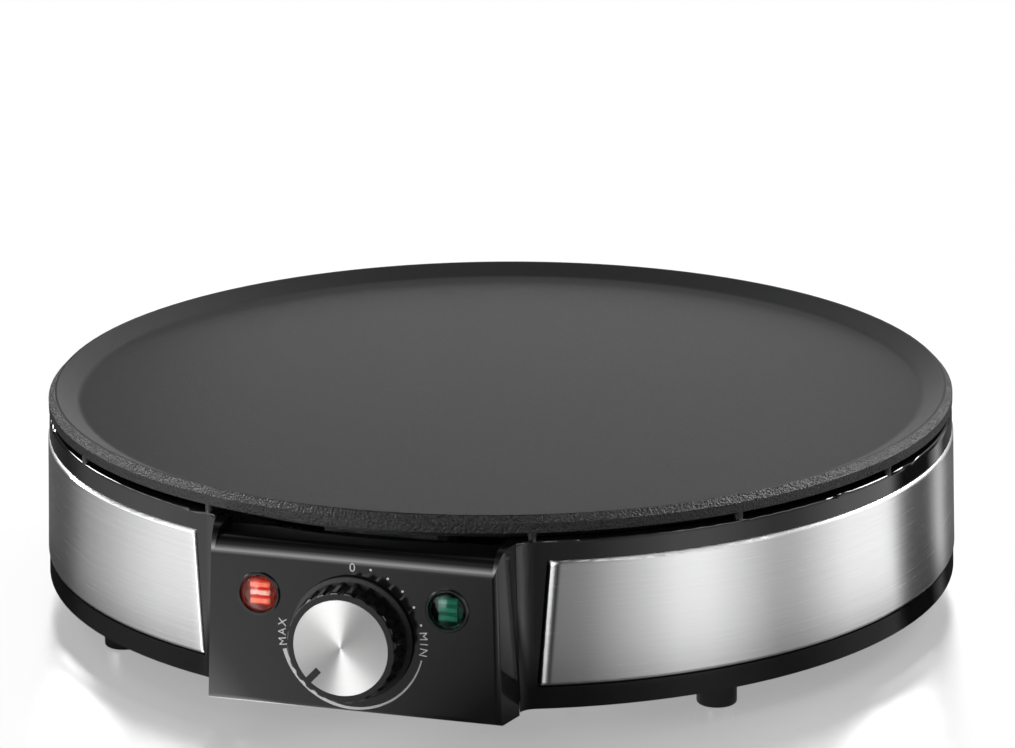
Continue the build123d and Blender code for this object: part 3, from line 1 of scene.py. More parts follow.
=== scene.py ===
"""Electric crepe maker: procedural materials, the printed dial, studio, light and camera."""

import json
import math

import bpy
from mathutils import Matrix, Vector


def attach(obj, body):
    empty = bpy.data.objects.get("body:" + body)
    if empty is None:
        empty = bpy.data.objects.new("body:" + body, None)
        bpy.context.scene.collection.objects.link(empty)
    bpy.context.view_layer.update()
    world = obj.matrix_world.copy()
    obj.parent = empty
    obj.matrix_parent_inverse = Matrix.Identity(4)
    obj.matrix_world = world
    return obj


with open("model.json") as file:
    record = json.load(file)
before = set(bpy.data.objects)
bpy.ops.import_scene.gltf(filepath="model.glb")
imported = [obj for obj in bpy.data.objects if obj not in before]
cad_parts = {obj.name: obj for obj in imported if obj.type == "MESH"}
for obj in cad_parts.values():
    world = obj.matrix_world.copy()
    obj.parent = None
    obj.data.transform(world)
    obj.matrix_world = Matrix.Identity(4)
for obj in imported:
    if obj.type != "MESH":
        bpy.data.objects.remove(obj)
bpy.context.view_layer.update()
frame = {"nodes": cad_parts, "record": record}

# ---------------------------------------------------------------------------
# Sizes in metres. Angles on the dial are in degrees, clockwise from the top.
# ---------------------------------------------------------------------------

PANEL_LEAN = math.radians(2.1)
DIAL_CENTRE = Vector((0, -0.158973, 0.03325))
DIAL_RADIUS = 0.0230
PRINT_LIFT = 0.00003
PRINT_THICKNESS = 0.00004
DOT_ANGLES = (15.0, 30.0, 45.0, 60.0, 75.0)
DOT_RADIUS = 0.0004
DOT_SIDES = 20
LETTER_SIZE = 0.0037
ZERO_RADIUS, ZERO_SIZE = 0.0224, 0.004
WORD_ANGLES = {"MIN": (83.9, 90.4, 96.9), "MAX": (261.6, 269.4, 277.0)}
ARC_START, ARC_END = 103.5, 255.6
ARC_WIDTH_START, ARC_WIDTH_END = 0.0004, 0.0013
ARC_STEPS = 80

# The lamps beside the dial, and the ribs seen in them: their pitch, the heights between which the
# middle rib's own light fades, and the distances to the side between which all of them dim
LAMP_OFFSET = 0.03065
LAMP_HEIGHT = 0.04465
RIB_PITCH = 0.00254
RIB_MIDDLE = (0.0008, 0.0019)
RIB_ENDS = (0.0019, 0.003)

HOUSING_RADIUS = 0.153
# The plate's coating gives way to the cast skin between these radii
COAT_END, CAST_START = 0.14985, 0.1502

# The bands' slanted front ends: arc length from the panel's middle, height, slope and rolled edge
BAND_FRONT = 0.05777
BAND_MIDDLE = 0.03705
BAND_SLANT = 0.0848
ROLL_WIDTH = 0.0045
ROLL_DEPTH = 0.0018
ROLL_LEFT_SHARE = 0.05
# The left band lies below minus this x, the right one above plus it
BAND_SIDES = 0.01
# The band's roughness rises between these heights, towards its top edge
BAND_SHINE_TOP, BAND_DULL = 0.0559, 0.0569
# Streaks per metre along the band and up it
BRUSH_FINE = (90.0, 6500.0)
BRUSH_BROAD = (14.0, 900.0)
# Rings per metre out from the middle of the knob's disc
TURNED_RINGS = 9000.0

# The knob's skirt is matt up to this height over the panel
SKIRT_DEPTH = 0.0021
# The spacer nubs under the plate are matt above this height
NUB_SHINE_TOP = 0.0644
# A satin or gloss surface turns matt over this distance
MATT_STEP = 0.0002

face_right = Vector((1, 0, 0))
face_up = Vector((0, math.sin(PANEL_LEAN), math.cos(PANEL_LEAN)))
face_out = Vector((0, -math.cos(PANEL_LEAN), math.sin(PANEL_LEAN)))

# ---------------------------------------------------------------------------
# Node helpers
# ---------------------------------------------------------------------------


def feed(tree, value, target):
    """Sets a socket to a number or a colour, or links another socket to it."""
    if isinstance(value, (int, float)):
        target.default_value = value
    elif isinstance(value, tuple):
        target.default_value = (*value, 1)
    else:
        tree.links.new(value, target)


def calc(tree, operation, a, b=0.0, clamp=False):
    """The output of a math node on sockets or numbers."""
    made = tree.nodes.new("ShaderNodeMath")
    made.operation = operation
    made.use_clamp = clamp
    feed(tree, a, made.inputs[0])
    feed(tree, b, made.inputs[1])
    return made.outputs[0]


def length(tree, a, b):
    """The length of the vector (a, b)."""
    square = calc(tree, "ADD", calc(tree, "MULTIPLY", a, a), calc(tree, "MULTIPLY", b, b))
    return calc(tree, "SQRT", square)


def add_to_scene(name, data):
    """A new object with the given data, in the scene."""
    made = bpy.data.objects.new(name, data)
    bpy.context.scene.collection.objects.link(made)
    return made


class Build:
    """A material under construction, with short calls for its nodes."""

    def __init__(self, name):
        self.material = bpy.data.materials.new(name)
        self.material.use_nodes = True
        self.tree = self.material.node_tree
        self.shader = self.tree.nodes["Principled BSDF"]
        self.coords = self.node("ShaderNodeTexCoord")

    def node(self, kind, **settings):
        made = self.tree.nodes.new(kind)
        for key, value in settings.items():
            setattr(made, key, value)
        return made

    def link(self, source, target):
        self.tree.links.new(source, target)

    def put(self, **values):
        """Sets uniform values on the shader's own sockets."""
        for key, value in values.items():
            self.shader.inputs[key.replace("_", " ")].default_value = value

    def math(self, operation, a, b=0.0, clamp=False):
        return calc(self.tree, operation, a, b, clamp)

    def position(self):
        """Separate x, y and z sockets of the object's own coordinates."""
        split = self.node("ShaderNodeSeparateXYZ")
        self.link(self.coords.outputs["Object"], split.inputs[0])
        return split.outputs

    def combine(self, x, y, z):
        made = self.node("ShaderNodeCombineXYZ")
        for index, value in enumerate((x, y, z)):
            feed(self.tree, value, made.inputs[index])
        return made.outputs[0]

    def noise(self, scale, detail=3.0, vector=None, roughness=0.5):
        made = self.node("ShaderNodeTexNoise")
        made.inputs["Scale"].default_value = scale
        made.inputs["Detail"].default_value = detail
        made.inputs["Roughness"].default_value = roughness
        self.link(vector or self.coords.outputs["Object"], made.inputs["Vector"])
        return made.outputs["Fac"]

    def ranged(self, value, low, high, out_low, out_high):
        """A value mapped from one range to another and kept inside it."""
        made = self.node("ShaderNodeMapRange")
        for index, number in enumerate((low, high, out_low, out_high)):
            made.inputs[index + 1].default_value = number
        self.link(value, made.inputs[0])
        return made.outputs[0]

    def blend(self, factor, low, high):
        """A colour between two colours or sockets."""
        made = self.node("ShaderNodeMix", data_type="RGBA")
        self.link(factor, made.inputs[0])
        feed(self.tree, low, made.inputs[6])
        feed(self.tree, high, made.inputs[7])
        return made.outputs[2]

    def mix(self, factor, first, second):
        """A shader between two shaders."""
        made = self.node("ShaderNodeMixShader")
        feed(self.tree, factor, made.inputs[0])
        self.link(first, made.inputs[1])
        self.link(second, made.inputs[2])
        return made.outputs[0]

    def colour(self, socket):
        self.link(socket, self.shader.inputs["Base Color"])

    def rough(self, socket):
        self.link(socket, self.shader.inputs["Roughness"])

    def bump(self, height, strength, distance):
        made = self.node("ShaderNodeBump")
        made.inputs["Strength"].default_value = strength
        made.inputs["Distance"].default_value = distance
        self.link(height, made.inputs["Height"])
        self.link(made.outputs[0], self.shader.inputs["Normal"])


# ---------------------------------------------------------------------------
# Finishes
# ---------------------------------------------------------------------------


def plain(name, colour, roughness, metallic=0.0, grain=0.00003):
    """A finish with faint mottling of its colour and roughness and a fine grain."""
    make = Build(name)
    make.put(Metallic=metallic)
    broad = make.noise(90.0, 2)
    fine = make.noise(600.0, 4)
    dark = tuple(channel * 0.88 for channel in colour)
    light = tuple(min(channel * 1.12, 1) for channel in colour)
    make.colour(make.blend(broad, dark, light))
    make.rough(make.ranged(fine, 0.3, 0.7, roughness * 0.85, roughness * 1.15))
    if grain > 0:
        make.bump(fine, 0.4, grain)
    return make.material


def plate_finish():
    """Satin coating on the cooking side, sand-cast skin on the chamfer, side and underside."""
    make = Build("plate_coating")
    make.put(Specular_IOR_Level=0.33)
    x, y, z = make.position()
    radius = length(make.tree, x, y)
    outside = make.ranged(radius, COAT_END, CAST_START, 0, 1)
    inside = make.math("SUBTRACT", 1.0, outside)
    cast_grain = make.noise(1150, 3, roughness=0.6)
    coat_grain = make.noise(2600, 2)
    cloud = make.noise(14, 3)
    coat = make.blend(cloud, (0.0068, 0.0069, 0.0074), (0.0088, 0.0089, 0.0094))
    cast = make.blend(make.ranged(cast_grain, 0.36, 0.64, 0, 1), (0.001, 0.001, 0.0012),
                      (0.013, 0.013, 0.0135))
    make.colour(make.blend(outside, coat, cast))
    coat_rough = make.ranged(coat_grain, 0.3, 0.7, 0.36, 0.44)
    cast_rough = make.ranged(cast_grain, 0.35, 0.65, 0.22, 0.5)
    make.rough(make.math("ADD", make.math("MULTIPLY", outside, cast_rough),
                         make.math("MULTIPLY", inside, coat_rough)))
    coat_height = make.math("MULTIPLY", make.math("MULTIPLY", coat_grain, 0.12), inside)
    height = make.math("ADD", make.math("MULTIPLY", outside, cast_grain), coat_height)
    make.bump(height, 1.0, 0.0007)
    return make.material


def band_finish():
    """Steel brushed along the band, rolled over towards its slanted front end."""
    make = Build("band_steel")
    make.put(Metallic=1.0, Anisotropic=0.85, Anisotropic_Rotation=0.25)
    x, y, z = make.position()
    angle = make.math("ARCTAN2", x, make.math("MULTIPLY", y, -1.0))
    arc = make.math("MULTIPLY", angle, HOUSING_RADIUS)

    def brushed(detail, streaks, start):
        along, up = streaks
        return make.noise(1, detail, make.combine(make.math("MULTIPLY", arc, along),
                                                  make.math("MULTIPLY", z, up), start))

    fine = brushed(3, BRUSH_FINE, 0.0)
    broad = brushed(2, BRUSH_BROAD, 4.0)
    streak = make.math("ADD", make.math("MULTIPLY", fine, 0.65),
                       make.math("MULTIPLY", broad, 0.35))
    make.colour(make.blend(make.ranged(streak, 0.35, 0.65, 0, 1), (0.62, 0.62, 0.63),
                           (0.685, 0.685, 0.69)))
    top_edge = make.ranged(z, BAND_SHINE_TOP, BAND_DULL, 0.0, 0.25)
    make.rough(make.math("ADD", make.ranged(streak, 0.3, 0.7, 0.22, 0.28), top_edge))
    lean = make.math("MULTIPLY", make.math("SUBTRACT", z, BAND_MIDDLE), BAND_SLANT)
    end = make.math("SUBTRACT", make.math("ABSOLUTE", arc), BAND_FRONT)
    inside = make.math("SUBTRACT", end, lean)
    left_over = make.math("SUBTRACT", 1.0, make.math("DIVIDE", inside, ROLL_WIDTH), clamp=True)
    depth = make.ranged(x, -BAND_SIDES, BAND_SIDES, -ROLL_DEPTH * ROLL_LEFT_SHARE, -ROLL_DEPTH)
    rolled = make.math("MULTIPLY", make.math("MULTIPLY", left_over, left_over), depth)
    height = make.math("ADD", rolled, make.math("MULTIPLY", fine, 0.0000008))
    make.bump(height, 1.0, 1.0)
    tangent = make.node("ShaderNodeVectorMath", operation="NORMALIZE")
    make.link(make.combine(make.math("MULTIPLY", y, -1.0), x, 0.0), tangent.inputs[0])
    make.link(tangent.outputs[0], make.shader.inputs["Tangent"])
    return make.material


def gloss_black(name, colour, roughness, waviness=0.15, matt_above=None):
    """Moulded gloss plastic with a faint waviness and mottled sheen, matt above a given height."""
    make = Build(name)
    cloud = make.noise(22, 2)
    fine = make.noise(900, 3)
    dark = tuple(channel * 0.75 for channel in colour)
    make.colour(make.blend(cloud, dark, colour))
    rough = make.ranged(fine, 0.3, 0.7, roughness * 0.85, roughness * 1.2)
    if matt_above is not None:
        x, y, z = make.position()
        matt = make.ranged(z, matt_above, matt_above + MATT_STEP, 0.0, 0.6)
        rough = make.math("ADD", rough, matt)
    make.rough(rough)
    make.bump(cloud, waviness, 0.0002)
    return make.material


def knob_finish():
    """Black plastic, satin on the fluted grip and matt on the skirt."""
    make = Build("knob_black")
    x, y, z = make.position()
    ahead = make.math("MULTIPLY", make.math("SUBTRACT", y, DIAL_CENTRE.y), -math.cos(PANEL_LEAN))
    up = make.math("MULTIPLY", make.math("SUBTRACT", z, DIAL_CENTRE.z), math.sin(PANEL_LEAN))
    skirt = make.ranged(make.math("ADD", ahead, up), SKIRT_DEPTH, SKIRT_DEPTH + MATT_STEP, 1.0, 0.0)
    cloud = make.noise(60, 2)
    fine = make.noise(900, 3)
    make.colour(make.blend(cloud, (0.0025, 0.0025, 0.003), (0.0035, 0.0035, 0.004)))
    satin = make.ranged(fine, 0.3, 0.7, 0.13, 0.18)
    make.rough(make.math("ADD", satin, make.math("MULTIPLY", skirt, 0.5)))
    make.bump(cloud, 0.15, 0.0002)
    return make.material


def turned_finish():
    """Aluminium turned in fine rings about the knob's axis."""
    make = Build("disc_aluminium")
    make.put(Metallic=1.0, Anisotropic=0.92, Anisotropic_Rotation=0.25)
    x, y, z = make.position()
    radius = length(make.tree, x, make.math("SUBTRACT", z, DIAL_CENTRE.z))
    rings = make.noise(1, 2, make.combine(make.math("MULTIPLY", radius, TURNED_RINGS), 0.0, 0.0))
    make.colour(make.blend(make.ranged(rings, 0.35, 0.65, 0, 1), (0.5, 0.5, 0.5),
                           (0.62, 0.62, 0.615)))
    make.rough(make.ranged(rings, 0.3, 0.7, 0.34, 0.42))
    tangent = make.node("ShaderNodeTangent", direction_type="RADIAL", axis="Y")
    make.link(tangent.outputs[0], make.shader.inputs["Tangent"])
    return make.material


def lens_finish(name, colour, deep, glow=(0.0, 0.0, 0.0)):
    """Clear coloured plastic, faintly lit from within where its lamp is on."""
    make = Build(name)
    make.put(Emission_Color=(*glow, 1.0), Emission_Strength=1.0)
    make.put(Transmission_Weight=1.0, IOR=1.3)
    make.colour(make.blend(make.noise(150, 2), deep, colour))
    make.rough(make.ranged(make.noise(700, 2), 0.3, 0.7, 0.03, 0.08))
    return make.material


def rib_finish(name, colour, light, side, glow=None):
    """Bright ribs across a lamp on one side of the dial.

    A lamp that is on has a glow: its colours between the ribs, on them and on the middle one.
    """
    make = Build(name)
    make.put(Roughness=0.35, Emission_Strength=1.0 if glow else 0.0)
    x, y, z = make.position()
    rise = make.math("SUBTRACT", z, LAMP_HEIGHT)
    across = make.math("SUBTRACT", x, side * LAMP_OFFSET)
    wave = make.math("COSINE", make.math("MULTIPLY", rise, 2 * math.pi / RIB_PITCH))
    bars = make.ranged(wave, -0.45, 0.25, 0.0, 1.0)
    ends = make.ranged(make.math("ABSOLUTE", across), *RIB_ENDS, 1.0, 0.5)
    cloud = make.ranged(make.noise(420, 2), 0.35, 0.65, 0.75, 1.0)
    shade = make.math("MULTIPLY", make.math("MULTIPLY", bars, ends), cloud)
    make.colour(make.blend(shade, colour, light))
    if glow:
        between, outer, middle = glow
        central = make.ranged(make.math("ABSOLUTE", rise), *RIB_MIDDLE, 1.0, 0.0)
        lit = make.blend(shade, between, make.blend(central, outer, middle))
        make.link(lit, make.shader.inputs["Emission Color"])
    return make.material


# ---------------------------------------------------------------------------
# Materials for the CAD nodes
# ---------------------------------------------------------------------------

# Colour, roughness, metallic and grain
PLAIN_FINISHES = {
    "element_sheath": ((0.12, 0.11, 0.1), 0.45, 0.8),
    "ceramic_white": ((0.78, 0.76, 0.7), 0.6),
    "plated_steel": ((0.5, 0.51, 0.53), 0.32, 1.0),
    "sheet_aluminium": ((0.7, 0.71, 0.72), 0.3, 1.0),
    "floor_black": ((0.025, 0.025, 0.027), 0.55),
    "brass": ((0.65, 0.47, 0.2), 0.3, 1.0),
    "bimetal": ((0.5, 0.45, 0.38), 0.35, 1.0),
    "holder_white": ((0.72, 0.71, 0.66), 0.5),
    "gland_rubber": ((0.018, 0.018, 0.02), 0.5, 0.0, 0.00005),
    "wire_blue": ((0.03, 0.12, 0.45), 0.4),
    "wire_white": ((0.78, 0.77, 0.72), 0.45),
    "wire_green": ((0.12, 0.38, 0.06), 0.4),
    "wire_brown": ((0.16, 0.07, 0.03), 0.4),
}
# Colour, roughness, waviness and the height above which it is matt
GLOSS_FINISHES = {
    "housing_black": ((0.0035, 0.0036, 0.004), 0.045, 0.02, NUB_SHINE_TOP),
    "panel_black": ((0.004, 0.0041, 0.0045), 0.1),
    "foot_rubber": ((0.004, 0.004, 0.0042), 0.2),
    "bezel_black": ((0.006, 0.006, 0.007), 0.15),
}
# Colour, deeper colour and glow
LENS_FINISHES = {
    "lens_red": ((0.9, 0.33, 0.25), (0.86, 0.26, 0.19), (0.018, 0.0004, 0.0002)),
    "lens_green": ((0.27, 0.66, 0.54), (0.22, 0.58, 0.46)),
    "bulb_glass": ((0.98, 0.93, 0.9), (0.92, 0.88, 0.85)),
}
# Colour, rib colour, side of the dial and glow
RIB_FINISHES = {
    "reflector_amber": ((0.3, 0.02, 0.01), (0.75, 0.5, 0.3), -1,
                        ((0.36, 0.06, 0.04), (0.55, 0.75, 0.7), (0.62, 2.2, 2.6))),
    "reflector_green": ((0.12, 0.2, 0.17), (0.4, 0.5, 0.46), 1),
}

finishes = {
    "plate_coating": plate_finish(),
    "band_steel": band_finish(),
    "knob_black": knob_finish(),
    "disc_aluminium": turned_finish(),
}
for finish, table in ((plain, PLAIN_FINISHES), (gloss_black, GLOSS_FINISHES),
                      (lens_finish, LENS_FINISHES), (rib_finish, RIB_FINISHES)):
    for name, values in table.items():
        finishes[name] = finish(name, *values)

slot_of = {row["node"]: row["material_slot"] for row in frame["record"]["subparts"]}
for name, piece in frame["nodes"].items():
    piece.data.materials.clear()
    piece.data.materials.append(finishes[slot_of[name]])

# ---------------------------------------------------------------------------
# Printed dial
# ---------------------------------------------------------------------------

print_finish = plain("dial_print", (0.42, 0.42, 0.42), 0.5, grain=0.0)


def outwards(angle):
    """The direction on the panel's face that points away from the dial's centre at an angle."""
    turn = math.radians(angle)
    return face_right * math.sin(turn) + face_up * math.cos(turn)


def on_dial(angle, radius):
    """The point on the panel's face at an angle and radius, just clear of the face."""
    return DIAL_CENTRE + outwards(angle) * radius + face_out * PRINT_LIFT


def print_mesh(name, corners, faces):
    """A thin printed mark from its outline points on the face."""
    mesh = bpy.data.meshes.new(name)
    mesh.from_pydata([tuple(point + face_out * PRINT_THICKNESS) for point in corners], [], faces)
    mesh.materials.append(print_finish)
    mark = add_to_scene(name, mesh)
    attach(mark, "housing")


def dial_dots():
    corners, faces = [], []
    for angle in DOT_ANGLES:
        first = len(corners)
        for step in range(DOT_SIDES):
            turn = 2 * math.pi * step / DOT_SIDES
            spread = face_right * math.cos(turn) + face_up * math.sin(turn)
            corners.append(on_dial(angle, DIAL_RADIUS) + spread * DOT_RADIUS)
        faces.append(tuple(range(first, first + DOT_SIDES)))
    print_mesh("dial_dots", corners, faces)


def dial_arc():
    corners, faces = [], []
    for step in range(ARC_STEPS + 1):
        share = step / ARC_STEPS
        angle = ARC_START + (ARC_END - ARC_START) * share
        half = (ARC_WIDTH_START + (ARC_WIDTH_END - ARC_WIDTH_START) * share) / 2
        corners.append(on_dial(angle, DIAL_RADIUS + half))
        corners.append(on_dial(angle, DIAL_RADIUS - half))
    for step in range(ARC_STEPS):
        first = 2 * step
        faces.append((first, first + 2, first + 3, first + 1))
    print_mesh("dial_arc", corners, faces)


def dial_letter(name, letter, angle, radius=DIAL_RADIUS, size=LETTER_SIZE):
    """One printed character, its top pointing away from the dial's centre."""
    text = bpy.data.curves.new(name, "FONT")
    text.body = letter
    text.size = size
    text.align_x = "CENTER"
    text.align_y = "CENTER"
    text.extrude = PRINT_THICKNESS / 2
    text.materials.append(print_finish)
    mark = add_to_scene(name, text)
    up = outwards(angle)
    side = up.cross(face_out)
    place = Matrix((side, up, face_out)).transposed().to_4x4()
    place.translation = on_dial(angle, radius)
    mark.matrix_world = place
    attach(mark, "housing")


dial_dots()
dial_arc()
dial_letter("dial_zero", "0", 0.0, ZERO_RADIUS, ZERO_SIZE)
for word, angles in WORD_ANGLES.items():
    for index, (letter, angle) in enumerate(zip(word, angles)):
        dial_letter(f"dial_{word.lower()}_{index}", letter, angle)

# ---------------------------------------------------------------------------
# Studio. Azimuths are in degrees from the panel's side towards +X.
# ---------------------------------------------------------------------------

# Brightness of the surroundings by azimuth
SURROUND = (
    (-180, 0.1), (-124, 0.06), (-118, 0.13), (-112, 0.3), (-96, 0.66), (-85, 0.97), (-75, 1.18),
    (-62, 1.2), (-54, 3.2), (-38, 3.2), (-31, 1.15), (-14, 0.68), (-4, 0.33), (3, 0.06),
    (16, 0.05), (23, 0.22), (37, 0.36), (53, 1.0), (60, 1.38), (68, 1.42), (74, 1.18), (87, 0.61),
    (94, 0.64), (103, 1.0), (111, 1.32), (130, 1.36), (134, 0.3), (137, 0.02), (153, 0.02),
    (161, 0.9), (168, 0.1),
)
SURROUND_PEAK = 3.2
# Share of that brightness by elevation
SKY_SHARE = ((0, 0.7), (25, 0.8), (38, 0.5), (52, 0.12), (90, 0.04))
# The wall behind: brightness by elevation, share by azimuth
BACK_RISE = ((-2, 0.07), (12, 0.08), (16, 0.2), (20, 0.6), (24, 0.78), (40, 0.62), (60, 0.2),
             (90, 0.12))
BACK_SWEEP = ((-180, 0.95), (-170, 0.7), (-160, 0.5), (-145, 0.35), (-125, 0.0), (135, 0.0),
              (158, 1.0))
# The main light in front and to the left: its radiance, and its share by elevation and azimuth
KEY_RADIANCE = 8.0
KEY_RISE = ((-8, 0.0), (0, 0.14), (7, 0.45), (13, 0.85), (18, 1.0), (26, 0.7), (33, 0.38),
            (40, 0.2), (53, 0.04), (64, 0.0))
KEY_SWEEP = ((-95, 0.0), (-75, 0.08), (-55, 0.3), (-38, 0.7), (-28, 1.0), (-17, 1.0), (-11, 0.0))
# Lamps: azimuth, elevation, distance, width, height and radiance
SOFTBOXES = {
    "light_back_right": (140, 35, 1.4, 0.7, 0.34, 27.0),
    "light_back_left": (-117, 30, 1.4, 0.5, 0.26, 26.0),
    "light_left": (-88, 30, 1.4, 1.1, 0.3, 2.5),
    "light_right": (82, 34, 1.4, 1.0, 0.3, 2.5),
    "light_behind": (195, 12, 0.6, 0.36, 0.12, 1.35),
}

FLOOR_REACH = 6
FLOOR_RIPPLE = 0.000012
# For reflections the floor carries the pattern of the surroundings, set out for the housing's
# wall seen from this azimuth. Close to the wall a painted shadow darkens it, except in front of the
# panel.
MIRROR_AZIMUTH = 16.94
BEARING_STEPS = 4
# Distances from the wall over which the painted shadow in the floor's reflections lightens
SHADOW_PAINT_REACH = (0.05, 0.092)
PANEL_AZIMUTHS = (16.0, 20.0)
# Radii between which the floor's shadow fades, and its mirror image weakens from 0.5 to 0.12
SHADOW_FADE = (0.165, 0.27)
MIRROR_FADE = (0.2, 0.45)


def ramp(tree, value, stops, low, high):
    """A colour ramp whose stops are given over a range."""
    scaled = tree.nodes.new("ShaderNodeMapRange")
    scaled.inputs[1].default_value = low
    scaled.inputs[2].default_value = high
    tree.links.new(value, scaled.inputs[0])
    made = tree.nodes.new("ShaderNodeValToRGB")
    marks = made.color_ramp.elements
    while len(marks) < len(stops):
        marks.new(0.5)
    for mark, (place, shade) in zip(marks, stops):
        mark.position = (place - low) / (high - low)
    for mark, (place, shade) in zip(marks, stops):
        mark.color = (shade, shade, shade, 1)
    tree.links.new(scaled.outputs[0], made.inputs[0])
    return made.outputs["Color"]


def azimuth(tree, vector):
    """The azimuth in degrees and the separate x, y and z sockets of a vector."""
    split = tree.nodes.new("ShaderNodeSeparateXYZ")
    tree.links.new(vector, split.inputs[0])
    turn = calc(tree, "ARCTAN2", split.outputs[0], calc(tree, "MULTIPLY", split.outputs[1], -1.0))
    return calc(tree, "DEGREES", turn), split.outputs


def surroundings(tree, angle):
    """Brightness of the surroundings at an azimuth."""
    shade = tuple((place, value / SURROUND_PEAK) for place, value in SURROUND)
    return calc(tree, "MULTIPLY", ramp(tree, angle, shade, -180, 180), SURROUND_PEAK)


def floor_bearing(tree, angle, radius):
    """The azimuth in which the wall mirrors a floor point, their distance and the wall's azimuth."""
    turn = calc(tree, "RADIANS", calc(tree, "SUBTRACT", angle, MIRROR_AZIMUTH))
    closeness = calc(tree, "DIVIDE", HOUSING_RADIUS, radius)
    half = calc(tree, "MULTIPLY", turn, 0.5)
    for step in range(BEARING_STEPS):
        reach = calc(tree, "MULTIPLY", calc(tree, "SINE", half), closeness)
        bend = calc(tree, "ARCSINE", reach)
        half = calc(tree, "MULTIPLY", calc(tree, "ADD", turn, bend), 0.5)
    bearing = calc(tree, "DEGREES", calc(tree, "MULTIPLY", half, 2.0))
    beside = calc(tree, "COSINE", calc(tree, "SUBTRACT", turn, half))
    product = calc(tree, "MULTIPLY", calc(tree, "MULTIPLY", radius, beside), -2 * HOUSING_RADIUS)
    square = calc(tree, "ADD", calc(tree, "MULTIPLY", radius, radius), HOUSING_RADIUS ** 2)
    distance = calc(tree, "SQRT", calc(tree, "ADD", square, product))
    wall = calc(tree, "ADD", calc(tree, "DEGREES", half), MIRROR_AZIMUTH)
    return calc(tree, "ADD", bearing, MIRROR_AZIMUTH), distance, wall


def floor_finish():
    """Pale floor, white away from the object, with a soft mirror image and shadow under it."""
    make = Build("studio_floor")
    make.put(Roughness=0.9, Specular_IOR_Level=0.0)
    make.colour(make.blend(make.noise(3, 2), (0.86, 0.86, 0.865), (0.88, 0.88, 0.88)))
    tree = make.tree
    angle, (x, y, z) = azimuth(tree, make.coords.outputs["Object"])
    radius = length(tree, x, y)
    mirror = make.node("ShaderNodeBsdfGlossy")
    mirror.inputs["Color"].default_value = (1, 1, 1, 1)
    mirror.inputs["Roughness"].default_value = 0.0
    ripple = make.node("ShaderNodeBump")
    ripple.inputs["Strength"].default_value = 1.0
    ripple.inputs["Distance"].default_value = FLOOR_RIPPLE
    make.link(make.noise(20000, 1), ripple.inputs["Height"])
    make.link(ripple.outputs[0], mirror.inputs["Normal"])
    bearing, distance, wall = floor_bearing(tree, angle, radius)
    beside_panel = make.ranged(calc(tree, "ABSOLUTE", wall), *PANEL_AZIMUTHS, 1.0, 0.0)
    # Painted shadow: the reflected surroundings are darkened close to the wall, except in front of
    # the panel
    under = calc(tree, "MAXIMUM", make.ranged(distance, *SHADOW_PAINT_REACH, 0.2, 1.0), beside_panel)
    around = make.node("ShaderNodeEmission")
    make.link(calc(tree, "MULTIPLY", surroundings(tree, bearing), under),
              around.inputs["Strength"])
    white = make.node("ShaderNodeEmission")
    white.inputs["Strength"].default_value = 1.0
    lit = make.mix(0.7, make.shader.outputs[0], white.outputs[0])
    shadow = make.mix(make.ranged(radius, *SHADOW_FADE, 0, 1), lit, white.outputs[0])
    seen = make.mix(make.ranged(radius, *MIRROR_FADE, 0.5, 0.12), shadow, mirror.outputs[0])
    path = make.node("ShaderNodeLightPath")
    glossy = calc(tree, "MAXIMUM", path.outputs["Is Glossy Ray"],
                  path.outputs["Is Transmission Ray"])
    bounced = make.mix(glossy, make.shader.outputs[0], around.outputs[0])
    whole = make.mix(path.outputs["Is Camera Ray"], bounced, seen)
    make.link(whole, tree.nodes["Material Output"].inputs["Surface"])
    return make.material


floor_mesh = bpy.data.meshes.new("studio_floor")
floor_mesh.from_pydata(
    [(x * FLOOR_REACH, y * FLOOR_REACH, 0) for x, y in ((-1, -1), (1, -1), (1, 1), (-1, 1))],
    [],
    [(0, 1, 2, 3)],
)
floor_mesh.materials.append(floor_finish())
studio_floor = add_to_scene("studio_floor", floor_mesh)

world = bpy.data.worlds.new("studio")
bpy.context.scene.world = world
world.use_nodes = True
sky = world.node_tree
background = sky.nodes["Background"]
direction = sky.nodes.new("ShaderNodeTexCoord").outputs["Generated"]
angle, (x, y, z) = azimuth(sky, direction)
rise = calc(sky, "DEGREES", calc(sky, "ARCSINE", z))
ring = calc(sky, "MULTIPLY", surroundings(sky, angle), ramp(sky, rise, SKY_SHARE, 0, 90))
back = calc(sky, "MULTIPLY", ramp(sky, angle, BACK_SWEEP, -180, 180),
            ramp(sky, rise, BACK_RISE, -90, 90))
key = calc(sky, "MULTIPLY", ramp(sky, angle, KEY_SWEEP, -180, 180),
           ramp(sky, rise, KEY_RISE, -90, 90))
total = calc(sky, "ADD", calc(sky, "ADD", ring, back), calc(sky, "MULTIPLY", key, KEY_RADIANCE))
# The camera, and the floor's mirror image, see a white background
path = sky.nodes.new("ShaderNodeLightPath")
plain_white = calc(sky, "MAXIMUM", path.outputs["Is Camera Ray"], path.outputs["Is Singular Ray"])
shown = sky.nodes.new("ShaderNodeMix")
sky.links.new(plain_white, shown.inputs[0])
sky.links.new(total, shown.inputs[2])
shown.inputs[3].default_value = 1.0
sky.links.new(shown.outputs[0], background.inputs["Strength"])
background.inputs["Color"].default_value = (1, 1, 1, 1)


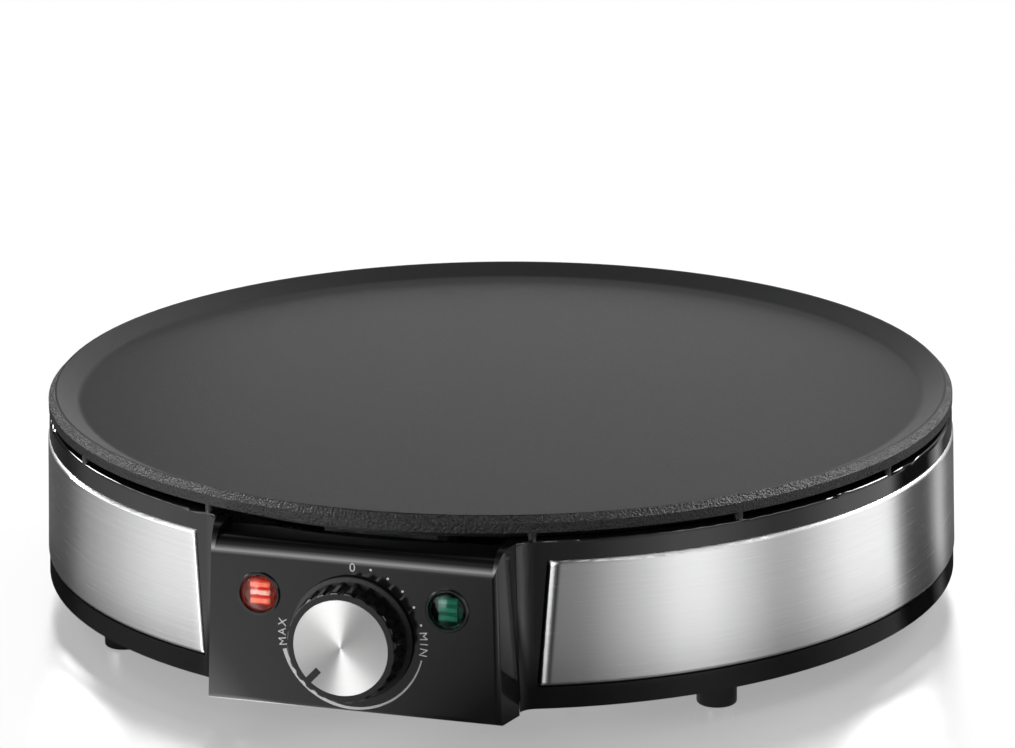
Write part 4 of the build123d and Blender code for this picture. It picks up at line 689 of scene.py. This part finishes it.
def softbox(name, turn, lift, distance, width, height, radiance):
    """A rectangular area light of a given radiance, aimed at the object."""
    lamp = bpy.data.lights.new(name, "AREA")
    lamp.shape = "RECTANGLE"
    lamp.size = width
    lamp.size_y = height
    lamp.energy = radiance * math.pi * width * height
    holder = add_to_scene(name, lamp)
    turn, lift = math.radians(turn), math.radians(lift)
    outward = Vector((math.sin(turn) * math.cos(lift), -math.cos(turn) * math.cos(lift),
                      math.sin(lift)))
    holder.location = outward * distance
    holder.rotation_mode = "QUATERNION"
    holder.rotation_quaternion = outward.to_track_quat("Z", "Y")
    holder.visible_camera = False


for name, values in SOFTBOXES.items():
    softbox(name, *values)

# ---------------------------------------------------------------------------
# Camera, at the photograph's viewing angle
# ---------------------------------------------------------------------------

CAMERA_PLACE = Vector((0.4469, -1.4672, 0.52465))
PITCH = math.radians(16.41)
YAW = math.radians(0.089)
ROLL = math.radians(-0.411)
FOCAL_LENGTH = 167.94
SENSOR_WIDTH = 36.0

camera_azimuth = math.atan2(CAMERA_PLACE.x, -CAMERA_PLACE.y)
right = Vector((math.cos(camera_azimuth), math.sin(camera_azimuth), 0))
ahead = Vector((-math.sin(camera_azimuth), math.cos(camera_azimuth), 0))
forward = (
    right * (math.sin(YAW) * math.cos(PITCH))
    + ahead * (math.cos(YAW) * math.cos(PITCH))
    + Vector((0, 0, -math.sin(PITCH)))
)
level_right = forward.cross(Vector((0, 0, 1))).normalized()
level_up = level_right.cross(forward)
camera_right = level_right * math.cos(ROLL) + level_up * math.sin(ROLL)
camera_up = level_up * math.cos(ROLL) - level_right * math.sin(ROLL)

camera_data = bpy.data.cameras.new("camera")
camera_data.lens = FOCAL_LENGTH
camera_data.sensor_width = SENSOR_WIDTH
camera_data.clip_start = 0.01
camera_data.clip_end = 50
camera = add_to_scene("camera", camera_data)
placing = Matrix((camera_right, camera_up, -forward)).transposed().to_4x4()
placing.translation = CAMERA_PLACE
camera.matrix_world = placing
bpy.context.scene.camera = camera

bpy.context.scene.view_settings.view_transform = "Standard"

bpy.context.view_layer.update()
